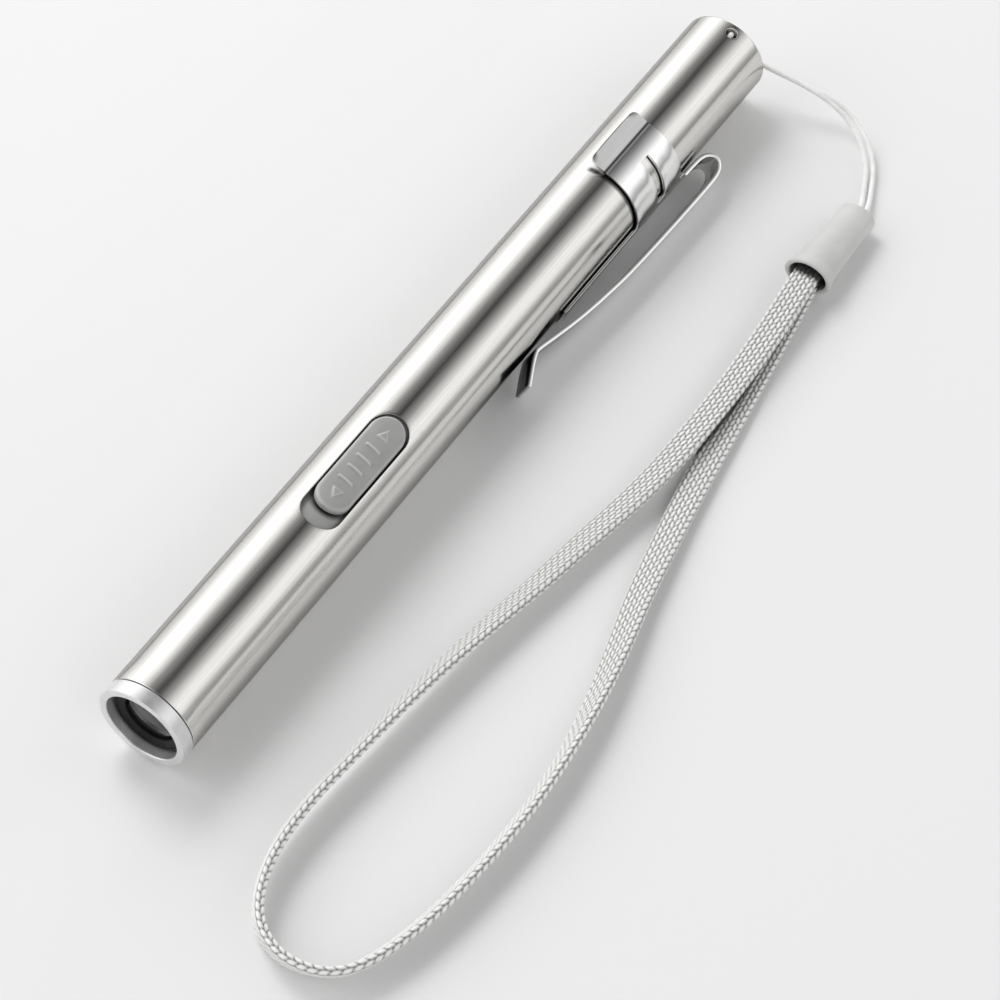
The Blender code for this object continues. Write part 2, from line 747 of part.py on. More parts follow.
def make_strap():
    pair = smooth_route(in_metres(STRING_ROUTE), 1.8 * MM)
    route_curve("lanyard_string_a", beside(pair, -STRAND_PITCH / 2), NYLON, STRING_DIAMETER / 2)
    route_curve("lanyard_string_b", beside(pair, STRAND_PITCH / 2), NYLON, STRING_DIAMETER / 2)

    section_curve = bpy.data.curves.new("strap_section", "CURVE")
    section_curve.dimensions = "2D"
    outline = section_curve.splines.new("POLY")
    corner = STRAP_THICKNESS * 0.3
    wide = STRAP_WIDTH / 2
    high = STRAP_THICKNESS / 2
    corners = (
        (wide, corner - high), (wide - corner, -high), (corner - wide, -high), (-wide, corner - high),
        (-wide, high - corner), (corner - wide, high), (wide - corner, high), (wide, high - corner),
    )
    outline.points.add(len(corners) - 1)
    for point, place in zip(outline.points, corners):
        point.co = (*place, 0.0, 1.0)
    outline.use_cyclic_u = True
    section = helper(bpy.data.objects.new("strap_section", section_curve))
    CUTTERS.objects.link(section)
    strap_spacing = 4.6 * MM
    route_curve("wrist_strap", smooth_route(in_metres(STRAP_ROUTE), strap_spacing), BRAID, section=section)

    mouth = FERRULE_MOUTH_RADIUS
    back = FERRULE_BACK_RADIUS
    lip = 0.9 * MM
    throat = 2.85 * MM
    bore_depth = 9.5 * MM
    hole = 1.45 * MM
    profile = [
        (hole, FERRULE_LENGTH),
        (back - 0.3 * MM, FERRULE_LENGTH),
        (back, FERRULE_LENGTH - 0.3 * MM),
        (back + 0.2 * MM, FERRULE_LENGTH * 0.6),
        (mouth - 0.4 * MM, lip * 2.2),
        (mouth - 0.1 * MM, lip),
        (mouth, lip * 0.4),
        (mouth - 0.2 * MM, 0.0),
        (throat + 0.2 * MM, 0.0),
        (throat, lip * 0.5),
        (throat, lip * 4.0),
        (back - 0.6 * MM, bore_depth),
        (hole, bore_depth),
    ]
    half_heights = ((mouth * FERRULE_FLATNESS, lip * 0.4), (back * FERRULE_FLATNESS, FERRULE_LENGTH - 0.3 * MM))
    drop = (half_heights[0][0] - half_heights[1][0]) / (half_heights[1][1] - half_heights[0][1])
    clearance = 0.05 * MM
    # An empty turned so that its local Z runs from the mouth towards the tail along +X.
    seat = bpy.data.objects.new("ferrule_seat", None)
    PARTS.objects.link(seat)
    seat.location = (*FERRULE_MOUTH, half_heights[0][0] + drop * half_heights[0][1] + clearance)
    seat.rotation_euler = (math.pi / 2 + math.atan(drop), 0.0, math.pi / 2)
    ferrule = turned("ferrule", profile, PALE_PLASTIC, seat, SMALL_STEPS)
    ferrule.scale = (1.0, FERRULE_FLATNESS, 1.0)


def build():
    barrel = make_barrel()
    make_tail(barrel)
    make_head()
    make_switch()
    make_cells()
    make_clip()
    make_strap()


build()
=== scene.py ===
"""The looks of a slim stainless pen torch with a slide switch, a spring clip and a braided wrist strap.

Everything is in the row frame, in metres: the torch lies along X with its head towards -X, on z = 0.
"Along" is the distance from the head's front face, and an angle round the torch runs from +Y to +Z.
"""

import math  # noqa: E402

import bmesh  # noqa: E402
import bpy  # noqa: E402
import numpy as np  # noqa: E402
from mathutils import Matrix, Vector  # noqa: E402


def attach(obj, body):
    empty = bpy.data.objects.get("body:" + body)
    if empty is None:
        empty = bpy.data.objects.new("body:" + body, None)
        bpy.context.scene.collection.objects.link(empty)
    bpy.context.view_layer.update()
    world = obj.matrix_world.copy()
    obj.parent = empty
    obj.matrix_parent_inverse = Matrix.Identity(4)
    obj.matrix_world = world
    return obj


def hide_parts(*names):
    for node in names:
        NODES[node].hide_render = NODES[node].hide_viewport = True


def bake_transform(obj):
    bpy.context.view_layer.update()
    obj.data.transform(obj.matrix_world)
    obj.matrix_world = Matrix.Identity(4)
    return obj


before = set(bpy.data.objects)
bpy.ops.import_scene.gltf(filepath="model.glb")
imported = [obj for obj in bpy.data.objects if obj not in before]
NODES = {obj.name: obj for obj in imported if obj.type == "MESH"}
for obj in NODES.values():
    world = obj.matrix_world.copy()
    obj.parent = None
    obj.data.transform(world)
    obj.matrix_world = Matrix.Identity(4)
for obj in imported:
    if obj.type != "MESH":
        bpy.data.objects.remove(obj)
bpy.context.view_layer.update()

MM = 0.001

LENGTH = 140.0 * MM
AXIS_Y = 1.79 * MM
AXIS_Z = 7.1 * MM
BODY_RADIUS = 6.5 * MM
BORE_RADIUS = 6.05 * MM
HEAD_X = -LENGTH / 2
SWITCH_ANGLE = math.radians(108)
CLIP_ANGLE = math.radians(207)
LANYARD_ANGLE = math.radians(106)


# ---------------------------------------------------------------- camera


def make_camera():
    data = bpy.data.cameras.new("camera")
    data.lens = 120.9
    data.sensor_width = 36.0
    data.clip_start = 0.01
    data.clip_end = 20.0
    camera = bpy.data.objects.new("camera", data)
    bpy.context.scene.collection.objects.link(camera)
    right = Vector((0.5489, -0.8359, 0.0)).normalized()
    forward = Vector((0.5077, 0.3334, -0.7944)).normalized()
    up = right.cross(forward).normalized()
    turn = Matrix((right, up, -forward)).transposed().to_4x4()
    camera.matrix_world = Matrix.Translation((-0.23736, -0.16115, 0.35354)) @ turn
    bpy.context.scene.camera = camera


make_camera()


# ---------------------------------------------------------------- mesh helpers


def make_object(name, mesh):
    thing = bpy.data.objects.new(name, mesh)
    bpy.context.scene.collection.objects.link(thing)
    return thing


def mesh_object(name, points, faces):
    mesh = bpy.data.meshes.new(name)
    mesh.from_pydata([tuple(point) for point in points], [], faces)
    mesh.validate()
    return make_object(name, mesh)


def smooth(thing, degrees=40):
    thing.data.shade_smooth()
    thing.data.set_sharp_from_angle(angle=math.radians(degrees))


def apply_modifiers(thing):
    graph = bpy.context.evaluated_depsgraph_get()
    thing.data = bpy.data.meshes.new_from_object(thing.evaluated_get(graph))
    thing.modifiers.clear()


def round_edges(thing, width, segments=2, degrees=40):
    bevel = thing.modifiers.new("soft_edges", "BEVEL")
    bevel.width = width
    bevel.segments = segments
    bevel.limit_method = "ANGLE"
    bevel.angle_limit = math.radians(degrees)
    bevel.harden_normals = False
    apply_modifiers(thing)
    smooth(thing)


def ramp(value, low, high):
    """From 0 at the low value to 1 at the high one, and level beyond them."""
    return max(0.0, min(1.0, (value - low) / (high - low)))


def on_torch(along, radius, angle):
    return (HEAD_X + along, AXIS_Y + radius * math.cos(angle), AXIS_Z + radius * math.sin(angle))


def off_chord(along, across, radius, angle):
    """A point on the torch's side at a chord's distance from the plane through the angle given."""
    return on_torch(along, radius, angle + math.asin(max(-1.0, min(1.0, across / radius))))


def lathe(name, profile, steps=160, transform=None):
    """A solid turned about the torch's axis, or about the Z of the transform given. The profile
    is a ring of (radius, along) points, and a point on the axis closes it."""
    points = []
    rings = []
    for radius, along in profile:
        ring = []
        for step in range(steps if radius > 0.0 else 1):
            angle = 2 * math.pi * step / steps
            if transform is None:
                points.append(on_torch(along, radius, angle))
            else:
                spot = Vector((radius * math.cos(angle), radius * math.sin(angle), along))
                points.append(transform @ spot)
            ring.append(len(points) - 1)
        rings.append(ring)
    on_axis = any(len(ring) == 1 for ring in rings)
    pairs = list(zip(rings, rings[1:]))
    if not on_axis:
        pairs.append((rings[-1], rings[0]))
    faces = []
    for here, there in pairs:
        for step in range(steps):
            after = (step + 1) % steps
            if len(here) == 1 and len(there) == 1:
                break
            if len(here) == 1:
                faces.append((here[0], there[after], there[step]))
            elif len(there) == 1:
                faces.append((here[step], here[after], there[0]))
            else:
                faces.append((here[step], here[after], there[after], there[step]))
    thing = mesh_object(name, points, faces)
    face_outwards(thing)
    smooth(thing)
    return thing


def face_outwards(thing):
    shape = bmesh.new()
    shape.from_mesh(thing.data)
    bmesh.ops.recalc_face_normals(shape, faces=shape.faces)
    shape.to_mesh(thing.data)
    shape.free()


def fillet(corner, start, end, radius, steps=3):
    """Points that round a profile's corner, between its two neighbours."""
    corner = Vector(corner)
    towards_start = (Vector(start) - corner).normalized()
    towards_end = (Vector(end) - corner).normalized()
    first = corner + towards_start * radius
    last = corner + towards_end * radius
    rounded = []
    for step in range(steps + 1):
        share = step / steps
        near_ends = first * (1 - share) ** 2 + last * share**2
        rounded.append(tuple(near_ends + corner * 2 * share * (1 - share)))
    return rounded


def rounded_profile(corners):
    """A ring of (radius, along, rounding) corners as profile points."""
    points = []
    for index, (radius, along, rounding) in enumerate(corners):
        before = corners[index - 1][:2]
        after = corners[(index + 1) % len(corners)][:2]
        if rounding:
            points.extend(fillet((radius, along), before, after, rounding))
        else:
            points.append((radius, along))
    return points


def smooth_route(points, spacing):
    """Points at an even spacing on the Catmull-Rom curve through the given ones. Values after
    the three coordinates are blended the same way."""
    fine = []
    padded = np.array([points[0], *points, points[-1]], float)
    pieces = 24
    for index in range(len(points) - 1):
        b, s, e, a = padded[index : index + 4]
        for step in range(pieces):
            t = step / pieces
            square = (2 * b - 5 * s + 4 * e - a) * t**2
            cube = (3 * s - b - 3 * e + a) * t**3
            fine.append(0.5 * (2 * s + (e - b) * t + square + cube))
    fine.append(padded[-1])
    fine = np.array(fine)
    steps = np.linalg.norm(np.diff(fine[:, :3], axis=0), axis=1)
    reached = np.concatenate([[0.0], np.cumsum(steps)])
    count = max(2, round(reached[-1] / spacing))
    places = np.linspace(0.0, reached[-1], count + 1)
    return np.stack([np.interp(places, reached, fine[:, k]) for k in range(fine.shape[1])], axis=1)


def route_axes(route):
    """For each point of a route: the way along it, and the two ways across its section, with the
    route's fourth value turning them, in degrees."""
    ahead = np.gradient(route[:, :3], axis=0)
    ahead /= np.linalg.norm(ahead, axis=1)[:, None]
    side = np.cross([0.0, 0.0, 1.0], ahead)
    side /= np.linalg.norm(side, axis=1)[:, None]
    up = np.cross(ahead, side)
    turn = np.radians(route[:, 3])[:, None]
    wide = side * np.cos(turn) + up * np.sin(turn)
    tall = up * np.cos(turn) - side * np.sin(turn)
    return ahead, wide, tall


def path_length(points):
    return float(np.linalg.norm(np.diff(points[:, :3], axis=0), axis=1).sum())


def tube_faces(rings, around):
    faces = []
    for ring in range(rings - 1):
        low = ring * around
        high = low + around
        for step in range(around):
            after = (step + 1) % around
            faces.append((low + step, low + after, high + after, high + step))
    faces.append(tuple(reversed(range(around))))
    last = (rings - 1) * around
    faces.append(tuple(range(last, last + around)))
    return faces


# ---------------------------------------------------------------- materials


def new_material(name, colour, roughness, metallic=0.0, **sockets):
    material = bpy.data.materials.new(name)
    material.use_nodes = True
    shader = material.node_tree.nodes["Principled BSDF"]
    shader.inputs["Base Color"].default_value = (*colour, 1.0)
    shader.inputs["Roughness"].default_value = roughness
    shader.inputs["Metallic"].default_value = metallic
    for socket, value in sockets.items():
        shader.inputs[socket.replace("_", " ")].default_value = value
    return material


def add_node(material, kind, **values):
    node = material.node_tree.nodes.new(kind)
    for key, value in values.items():
        setattr(node, key, value)
    return node


def link(material, source, target):
    material.node_tree.links.new(source, target)


def shader_of(material):
    return material.node_tree.nodes["Principled BSDF"]


def stretched_noise(material, stretch, scale, detail=3.0, roughness=0.55):
    """Noise over the object's own coordinates, in features per millimetre, with each axis scaled."""
    place = add_node(material, "ShaderNodeTexCoord")
    mapping = add_node(material, "ShaderNodeMapping")
    mapping.inputs["Scale"].default_value = stretch
    noise = add_node(material, "ShaderNodeTexNoise")
    noise.inputs["Scale"].default_value = scale / MM
    noise.inputs["Detail"].default_value = detail
    noise.inputs["Roughness"].default_value = roughness
    link(material, place.outputs["Object"], mapping.inputs["Vector"])
    link(material, mapping.outputs["Vector"], noise.inputs["Vector"])
    return noise.outputs["Fac"]


def remapped(material, value, low, high, new_low, new_high):
    node = add_node(material, "ShaderNodeMapRange")
    node.inputs["From Min"].default_value = low
    node.inputs["From Max"].default_value = high
    node.inputs["To Min"].default_value = new_low
    node.inputs["To Max"].default_value = new_high
    link(material, value, node.inputs["Value"])
    return node.outputs["Result"]


def colour_between(material, share, first, second):
    node = add_node(material, "ShaderNodeMix", data_type="RGBA")
    node.inputs[6].default_value = (*first, 1.0)
    node.inputs[7].default_value = (*second, 1.0)
    link(material, share, node.inputs["Factor"])
    return node.outputs[2]


def add_bump(material, height, distance, strength=1.0):
    bump = add_node(material, "ShaderNodeBump")
    bump.inputs["Strength"].default_value = strength
    bump.inputs["Distance"].default_value = distance
    link(material, height, bump.inputs["Height"])
    link(material, bump.outputs["Normal"], shader_of(material).inputs["Normal"])


def metal(name, dark, light, rough_low, rough_high, stretch, scale, bump=0.0, **sockets):
    """Metal with its grain in its colour, its roughness and its surface."""
    material = new_material(name, light, rough_high, 1.0, **sockets)
    grain = stretched_noise(material, stretch, scale)
    shader = shader_of(material)
    share = remapped(material, grain, 0.35, 0.65, 0.0, 1.0)
    link(material, colour_between(material, share, dark, light), shader.inputs["Base Color"])
    sheen = remapped(material, grain, 0.3, 0.7, rough_low, rough_high)
    link(material, sheen, shader.inputs["Roughness"])
    if bump:
        add_bump(material, grain, bump)
    return material


def moulded(name, dark, light, roughness, scale=3.0, bump=0.004 * MM, **sockets):
    """Moulded plastic or rubber: a fine texture and a faint unevenness of colour."""
    material = new_material(name, light, roughness, **sockets)
    shader = shader_of(material)
    fine = stretched_noise(material, (1.0, 1.0, 1.0), scale)
    broad = stretched_noise(material, (1.0, 1.0, 1.0), scale / 8)
    share = remapped(material, broad, 0.35, 0.65, 0.0, 1.0)
    link(material, colour_between(material, share, dark, light), shader.inputs["Base Color"])
    low = roughness * 0.9
    high = roughness * 1.15
    link(material, remapped(material, fine, 0.3, 0.7, low, high), shader.inputs["Roughness"])
    add_bump(material, fine, bump)
    return material


def make_materials():
    made = {}
    made["brushed_stainless"] = metal(
        "brushed_stainless", (0.665, 0.65, 0.625), (0.72, 0.71, 0.69), 0.13, 0.19,
        stretch=(0.02, 1.0, 1.0), scale=5.0, bump=0.0008 * MM, Specular_Tint=(0.55, 0.55, 0.55, 1.0),
    )
    made["polished_ring"] = metal(
        "polished_ring", (0.74, 0.74, 0.74), (0.80, 0.80, 0.80), 0.3, 0.36,
        stretch=(1.0, 1.0, 1.0), scale=0.6,
    )
    shader_of(made["polished_ring"]).inputs["Metallic"].default_value = 0.72
    made["spring_steel"] = metal(
        "spring_steel", (0.84, 0.84, 0.835), (0.88, 0.88, 0.875), 0.16, 0.22,
        stretch=(0.1, 1.0, 1.0), scale=1.5, Specular_Tint=(0.6, 0.6, 0.6, 1.0),
    )
    grey = moulded("grey_plastic", (0.345, 0.345, 0.337), (0.375, 0.375, 0.366), 0.4)
    # The metal finishes take painted shade from their pieces' points.
    for name in ("brushed_stainless", "spring_steel", "polished_ring"):
        shaded(made[name])
    # The grey plastic takes a painted highlight in this lighter grey, and painted shade.
    made["grey_plastic"] = shaded(grey, (0.60, 0.60, 0.59))
    made["black_plastic"] = moulded(
        "black_plastic", (0.008, 0.008, 0.009), (0.014, 0.014, 0.015), 0.5, Specular_IOR_Level=0.18
    )
    pale = moulded("pale_plastic", (0.60, 0.60, 0.585), (0.65, 0.65, 0.64), 0.4, scale=1.5)
    made["pale_plastic"] = shaded(pale)
    made["black_rubber"] = moulded(
        "black_rubber", (0.012, 0.012, 0.012), (0.022, 0.022, 0.022), 0.7
    )
    made["lens_glass"] = moulded(
        "lens_glass", (0.045, 0.045, 0.05), (0.06, 0.06, 0.066), 0.06,
        scale=0.5, bump=0.0001 * MM, Transmission_Weight=0.5,
    )
    made["brass"] = metal(
        "brass", (0.66, 0.46, 0.20), (0.76, 0.56, 0.27), 0.22, 0.34,
        stretch=(1.0, 1.0, 0.1), scale=2.0,
    )
    made["reflector_mirror"] = metal(
        "reflector_mirror", (0.83, 0.83, 0.84), (0.88, 0.88, 0.89), 0.04, 0.07,
        stretch=(1.0, 1.0, 1.0), scale=1.0,
    )
    made["circuit_board"] = moulded("circuit_board", (0.70, 0.72, 0.70), (0.80, 0.81, 0.79), 0.45)
    made["led_phosphor"] = moulded("led_phosphor", (0.80, 0.66, 0.12), (0.86, 0.75, 0.2), 0.4)
    made["cell_wrap"] = moulded("cell_wrap", (0.09, 0.15, 0.27), (0.13, 0.21, 0.35), 0.3)
    made["nylon_string"] = moulded("nylon_string", (0.86, 0.86, 0.85), (0.94, 0.94, 0.93), 0.45)
    made["woven_braid"] = braid_material()
    return made


def shaded(material, highlight_paint=None):
    """Paints shade and highlights into a piece's colour: a painted-shade value on its points darkens
    it, as in a bore or under an edge, and a painted-highlight value brings out the colour given, as on
    a raised mark."""
    shader = shader_of(material)
    for name, colour in (("painted_highlight", highlight_paint), ("painted_shade", (0.02, 0.02, 0.02))):
        if colour is None:
            continue
        body = shader.inputs["Base Color"].links[0].from_socket
        amount = add_node(material, "ShaderNodeAttribute", attribute_name=name)
        mix = add_node(material, "ShaderNodeMix", data_type="RGBA")
        mix.inputs[7].default_value = (*colour, 1.0)
        link(material, amount.outputs["Fac"], mix.inputs["Factor"])
        link(material, body, mix.inputs[6])
        link(material, mix.outputs[2], shader.inputs["Base Color"])
    return material


def set_values(thing, name, values):
    """Gives each of a piece's points a value that its material reads by name."""
    attribute = thing.data.attributes.new(name, "FLOAT", "POINT")
    attribute.data.foreach_set("value", np.array(values, np.float32))


def braid_material():
    """The braid's picks are bright and smooth, and the valleys between them carry painted shade, with
    fine noise for a random unevenness of tone.
    """
    material = new_material("woven_braid", (0.8, 0.8, 0.79), 0.45)
    shader = shader_of(material)
    depth = add_node(material, "ShaderNodeAttribute", attribute_name="pick_height")
    threads = stretched_noise(material, (1.0, 1.0, 1.0), 6.0)
    share = add_node(material, "ShaderNodeMath", operation="MULTIPLY_ADD")
    share.use_clamp = True
    share.inputs[1].default_value = 0.35
    link(material, threads, share.inputs[0])
    link(material, remapped(material, depth.outputs["Fac"], 0.15, 1.0, -0.12, 0.85), share.inputs[2])
    # The valleys' dark grey is painted shade; the crown is the braid's own colour.
    valley_shade = (0.19, 0.19, 0.184)
    crown = (0.95, 0.955, 0.935)
    colour = colour_between(material, share.outputs["Value"], valley_shade, crown)
    link(material, colour, shader.inputs["Base Color"])
    add_bump(material, threads, 0.01 * MM)
    return shaded(material)


MATERIALS = make_materials()


def dress(thing, slot, body, *replaced):
    """Gives a piece its finish, the body it moves with and the CAD nodes it stands for."""
    thing.data.materials.clear()
    thing.data.materials.append(MATERIALS[slot])
    if body:
        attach(thing, body)
    if replaced:
        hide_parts(*replaced)
    return thing


# ---------------------------------------------------------------- wrist strap

# The centreline in millimetres, and the turn of the flat section in degrees. The places keep to
# the strap's line as it was measured on the photo through the fitted camera.
STRAP_ROUTE = (
    (45.5, -28.15, 3.35, 0),
    (42.5, -28.2, 3.45, 0),
    (38.5, -28.5, 3.3, 0),
    (34.0, -28.8, 2.95, 0),
    (27.0, -29.2, 2.7, 2),
    (19.0, -29.5, 2.65, 5),
    (11.0, -29.4, 2.6, 9),
    (3.5, -28.9, 2.35, 16),
    (-3.5, -28.0, 2.0, 20),
    (-12.0, -26.6, 2.0, 26),
    (-21.0, -25.3, 2.2, 32),
    (-30.0, -23.8, 2.5, 38),
    (-39.0, -22.5, 2.9, 46),
    (-48.0, -21.5, 3.1, 52),
    (-57.0, -20.7, 3.1, 57),
    (-65.0, -20.1, 3.0, 61),
    (-71.5, -20.3, 2.8, 66),
    (-76.5, -21.4, 2.6, 73),
    (-80.5, -23.3, 2.5, 80),
    (-83.1, -25.9, 2.3, 89),
    (-84.3, -29.0, 2.2, 99),
    (-84.3, -32.0, 2.15, 108),
    (-83.3, -35.0, 2.15, 115),
    (-81.2, -37.4, 2.15, 118),
    (-77.5, -39.3, 2.15, 120),
    (-71.5, -41.0, 2.15, 121),
    (-64.5, -42.1, 2.15, 121),
    (-56.5, -42.8, 2.15, 120),
    (-48.5, -42.9, 2.15, 120),
    (-40.5, -42.3, 2.15, 123),
    (-32.0, -41.0, 2.05, 133),
    (-24.0, -39.2, 1.8, 145),
    (-16.0, -37.2, 1.5, 155),
    (-8.0, -35.6, 1.25, 163),
    (2.0, -33.8, 1.0, 172),
    (14.0, -32.0, 0.9, 178),
    (26.0, -30.3, 0.9, 180),
    (36.0, -29.0, 1.15, 180),
    (42.0, -28.25, 1.85, 180),
    (45.5, -28.15, 1.75, 180),
)
STRAP_WIDTH = 4.0 * MM
STRAP_THICKNESS = 1.3 * MM
PICK_PITCH = 1.25 * MM
PICK_RISE = 0.2 * MM
BRAID_COLUMNS = 14
PICK_SLANT = 0.22


def in_metres(route):
    return [[values[0] * MM, values[1] * MM, values[2] * MM, *values[3:]] for values in route]


def rounded_outline(width, thickness, corner, count):
    """Evenly spaced points round a rounded rectangle and their outward directions, from the
    middle of the side at +width."""
    straight_w = width - 2 * corner
    straight_t = thickness - 2 * corner
    quarter = math.pi / 2 * corner
    perimeter = 2 * (straight_w + straight_t) + 4 * quarter
    points = []
    outward = []
    for number in range(count):
        s = perimeter * number / count + straight_t / 2
        place = None
        for turn, length in ((0, straight_t), (1, straight_w), (2, straight_t), (3, straight_w)):
            facing = turn * math.pi / 2
            corner_x = (straight_w / 2, -straight_w / 2, -straight_w / 2, straight_w / 2)[turn]
            corner_y = (straight_t / 2, straight_t / 2, -straight_t / 2, -straight_t / 2)[turn]
            if s < length:
                way = Vector((math.cos(facing), math.sin(facing)))
                back = Vector((math.sin(facing), -math.cos(facing))) * (length - s)
                place = Vector((corner_x, corner_y)) + back + way * corner
                break
            s -= length
            if s < quarter:
                angle = facing + s / corner
                way = Vector((math.cos(angle), math.sin(angle)))
                place = Vector((corner_x, corner_y)) + way * corner
                break
            s -= quarter
        else:
            way = Vector((1.0, 0.0))
            place = Vector((straight_w / 2 + corner, -straight_t / 2 + s))
        points.append(tuple(place))
        outward.append(tuple(way))
    return np.array(points), np.array(outward)


def pick_heights(along, count, samples):
    """The height, from 0 to 1, of the braid's picks at every place round and along the strap:
    columns of slanted ovals, with each column half a pick on from the last."""
    column = np.arange(count) // samples
    across = (np.arange(count) % samples) / samples * 2 - 1 + 1 / samples
    slant = np.where(column % 2 == 0, 1.0, -1.0) * PICK_SLANT
    stagger = np.where(column % 2 == 0, 0.0, 0.5)
    phase = along[:, None] / PICK_PITCH + stagger[None, :] + slant[None, :] * across[None, :]
    within = (phase - np.floor(phase)) * 2 - 1
    oval = 1.0 - within**4 - 0.93 * (across[None, :] ** 2)
    return np.clip(oval, 0.0, 1.0) ** 0.65


def strap_painted_shade(route, points):
    """Painted shade on the braid inside the ferrule's mouth, and where its two runs lie together."""
    painted_shade = np.clip((points[..., 0] / MM - 41.3) / 0.9, 0.0, 0.97)
    turn = int(np.argmin(route[:, 0]))
    others = (route[turn:], route[:turn])
    for run, other in zip((slice(None, turn), slice(turn, None)), others):
        thinned = other[::6, :3]
        for number in range(*run.indices(len(route))):
            if route[number, 0] < 2 * MM:
                continue
            gaps = np.linalg.norm(points[number][:, None] - thinned[None], axis=2).min(axis=1)
            centre = route[number, :3]
            nearest = thinned[np.argmin(np.linalg.norm(thinned - centre, axis=1))]
            towards = (nearest - centre) / np.linalg.norm(nearest - centre)
            offsets = points[number] - centre
            facing = offsets @ towards / np.linalg.norm(offsets, axis=1)
            beside = np.clip((2.4 * MM - gaps) / (0.35 * MM), 0.0, 1.0)
            beside *= np.clip(2.5 * facing - 0.6, 0.0, 1.0)
            painted_shade[number] = np.maximum(painted_shade[number], 0.95 * beside)
    return painted_shade.ravel()


def make_strap():
    step = 0.15 * MM
    samples = 6
    around = BRAID_COLUMNS * samples
    route = smooth_route(in_metres(STRAP_ROUTE), step)
    _, wide, tall = route_axes(route)
    width = STRAP_WIDTH - 2 * PICK_RISE
    thickness = STRAP_THICKNESS - 2 * PICK_RISE
    outline, outward = rounded_outline(width, thickness, thickness * 0.42, around)
    along = np.linspace(0.0, path_length(route), len(route))
    height = pick_heights(along, around, samples)
    reach = outline[None] + outward[None] * height[..., None] * PICK_RISE
    points = route[:, None, :3] + wide[:, None] * reach[..., :1] + tall[:, None] * reach[..., 1:]
    strap = mesh_object("wrist_strap_braid", points.reshape(-1, 3), tube_faces(len(route), around))
    set_values(strap, "pick_height", height.ravel())
    # Painted shade in the ferrule's mouth and in the crack between the strap's two runs.
    set_values(strap, "painted_shade", strap_painted_shade(route, points))
    face_outwards(strap)
    strap.data.shade_smooth()
    dress(strap, "woven_braid", "barrel", "wrist_strap")
    return strap


# ---------------------------------------------------------------- string

# The same for the doubled string. Its ten middle points keep within 0.25 mm of the line that was
# measured on the photo.
STRING_ROUTE = (
    (67.6, 1.8, 7.1, -54),
    (69.5, 1.6, 7.1, -54),
    (70.9, 0.1, 7.0, -54),
    (71.3, -2.2, 6.75, -54),
    (71.4, -4.8, 6.4, -54),
    (71.8, -8.0, 5.8, -50),
    (72.4, -11.2, 4.9, -38),
    (72.9, -14.2, 3.9, -20),
    (72.7, -17.0, 3.0, -8),
    (71.6, -19.7, 2.2, -2),
    (69.9, -22.1, 1.5, 0),
    (67.0, -24.5, 0.95, 0),
    (63.3, -26.3, 0.75, 0),
    (60.0, -27.6, 1.1, 0),
    (57.1, -28.1, 2.0, 0),
    (55.8, -28.15, 2.15, 0),
)
STRING_DIAMETER = 0.72 * MM
STRAND_PITCH = 1.04 * MM


def make_string(name, node, offset):
    """One strand, twisted from three yarns."""
    route = smooth_route(in_metres(STRING_ROUTE), 0.2 * MM)
    _, wide, _ = route_axes(route)
    centres = route.copy()
    centres[:, :3] += wide * offset
    centres[:, 3] = 0.0
    _, first, second = route_axes(centres)
    around = 18
    angles = np.arange(around) / around * 2 * math.pi
    along = np.linspace(0.0, path_length(centres), len(centres))
    twist = along[:, None] / (2.6 * MM) * 2 * math.pi
    groove = np.abs(np.sin(1.5 * (angles[None, :] - twist)))
    radius = STRING_DIAMETER / 2 * (0.86 + 0.14 * groove**0.7)
    points = (
        centres[:, None, :3]
        + first[:, None] * (radius * np.cos(angles))[..., None]
        + second[:, None] * (radius * np.sin(angles))[..., None]
    )
    string = mesh_object(name, points.reshape(-1, 3), tube_faces(len(centres), around))
    face_outwards(string)
    string.data.shade_smooth()
    dress(string, "nylon_string", "barrel", node)


def make_hole_loop():
    """The string's loop, which shows in the tail's side hole."""
    up = ((137.72, 2.6), (137.75, 4.4), (137.85, 5.5), (138.3, 6.05))
    down = ((138.75, 5.5), (138.85, 4.4), (138.88, 2.6))
    route = []
    for along, radius in up + down:
        route.append([*on_torch(along * MM, radius * MM, LANYARD_ANGLE), 0.0])
    route = smooth_route(route, 0.12 * MM)
    ahead, _, _ = route_axes(route)
    aside = np.array([0.0, -math.sin(LANYARD_ANGLE), math.cos(LANYARD_ANGLE)])
    other = np.cross(ahead, aside)
    around = 16
    angles = np.arange(around) / around * 2 * math.pi
    radius = 0.36 * MM
    points = (
        route[:, None, :3]
        + aside[None, None] * (radius * np.cos(angles))[None, :, None]
        + other[:, None] * (radius * np.sin(angles))[None, :, None]
    )
    loop = mesh_object("string_in_hole", points.reshape(-1, 3), tube_faces(len(route), around))
    face_outwards(loop)
    loop.data.shade_smooth()
    dress(loop, "nylon_string", "barrel")


# ---------------------------------------------------------------- ferrule


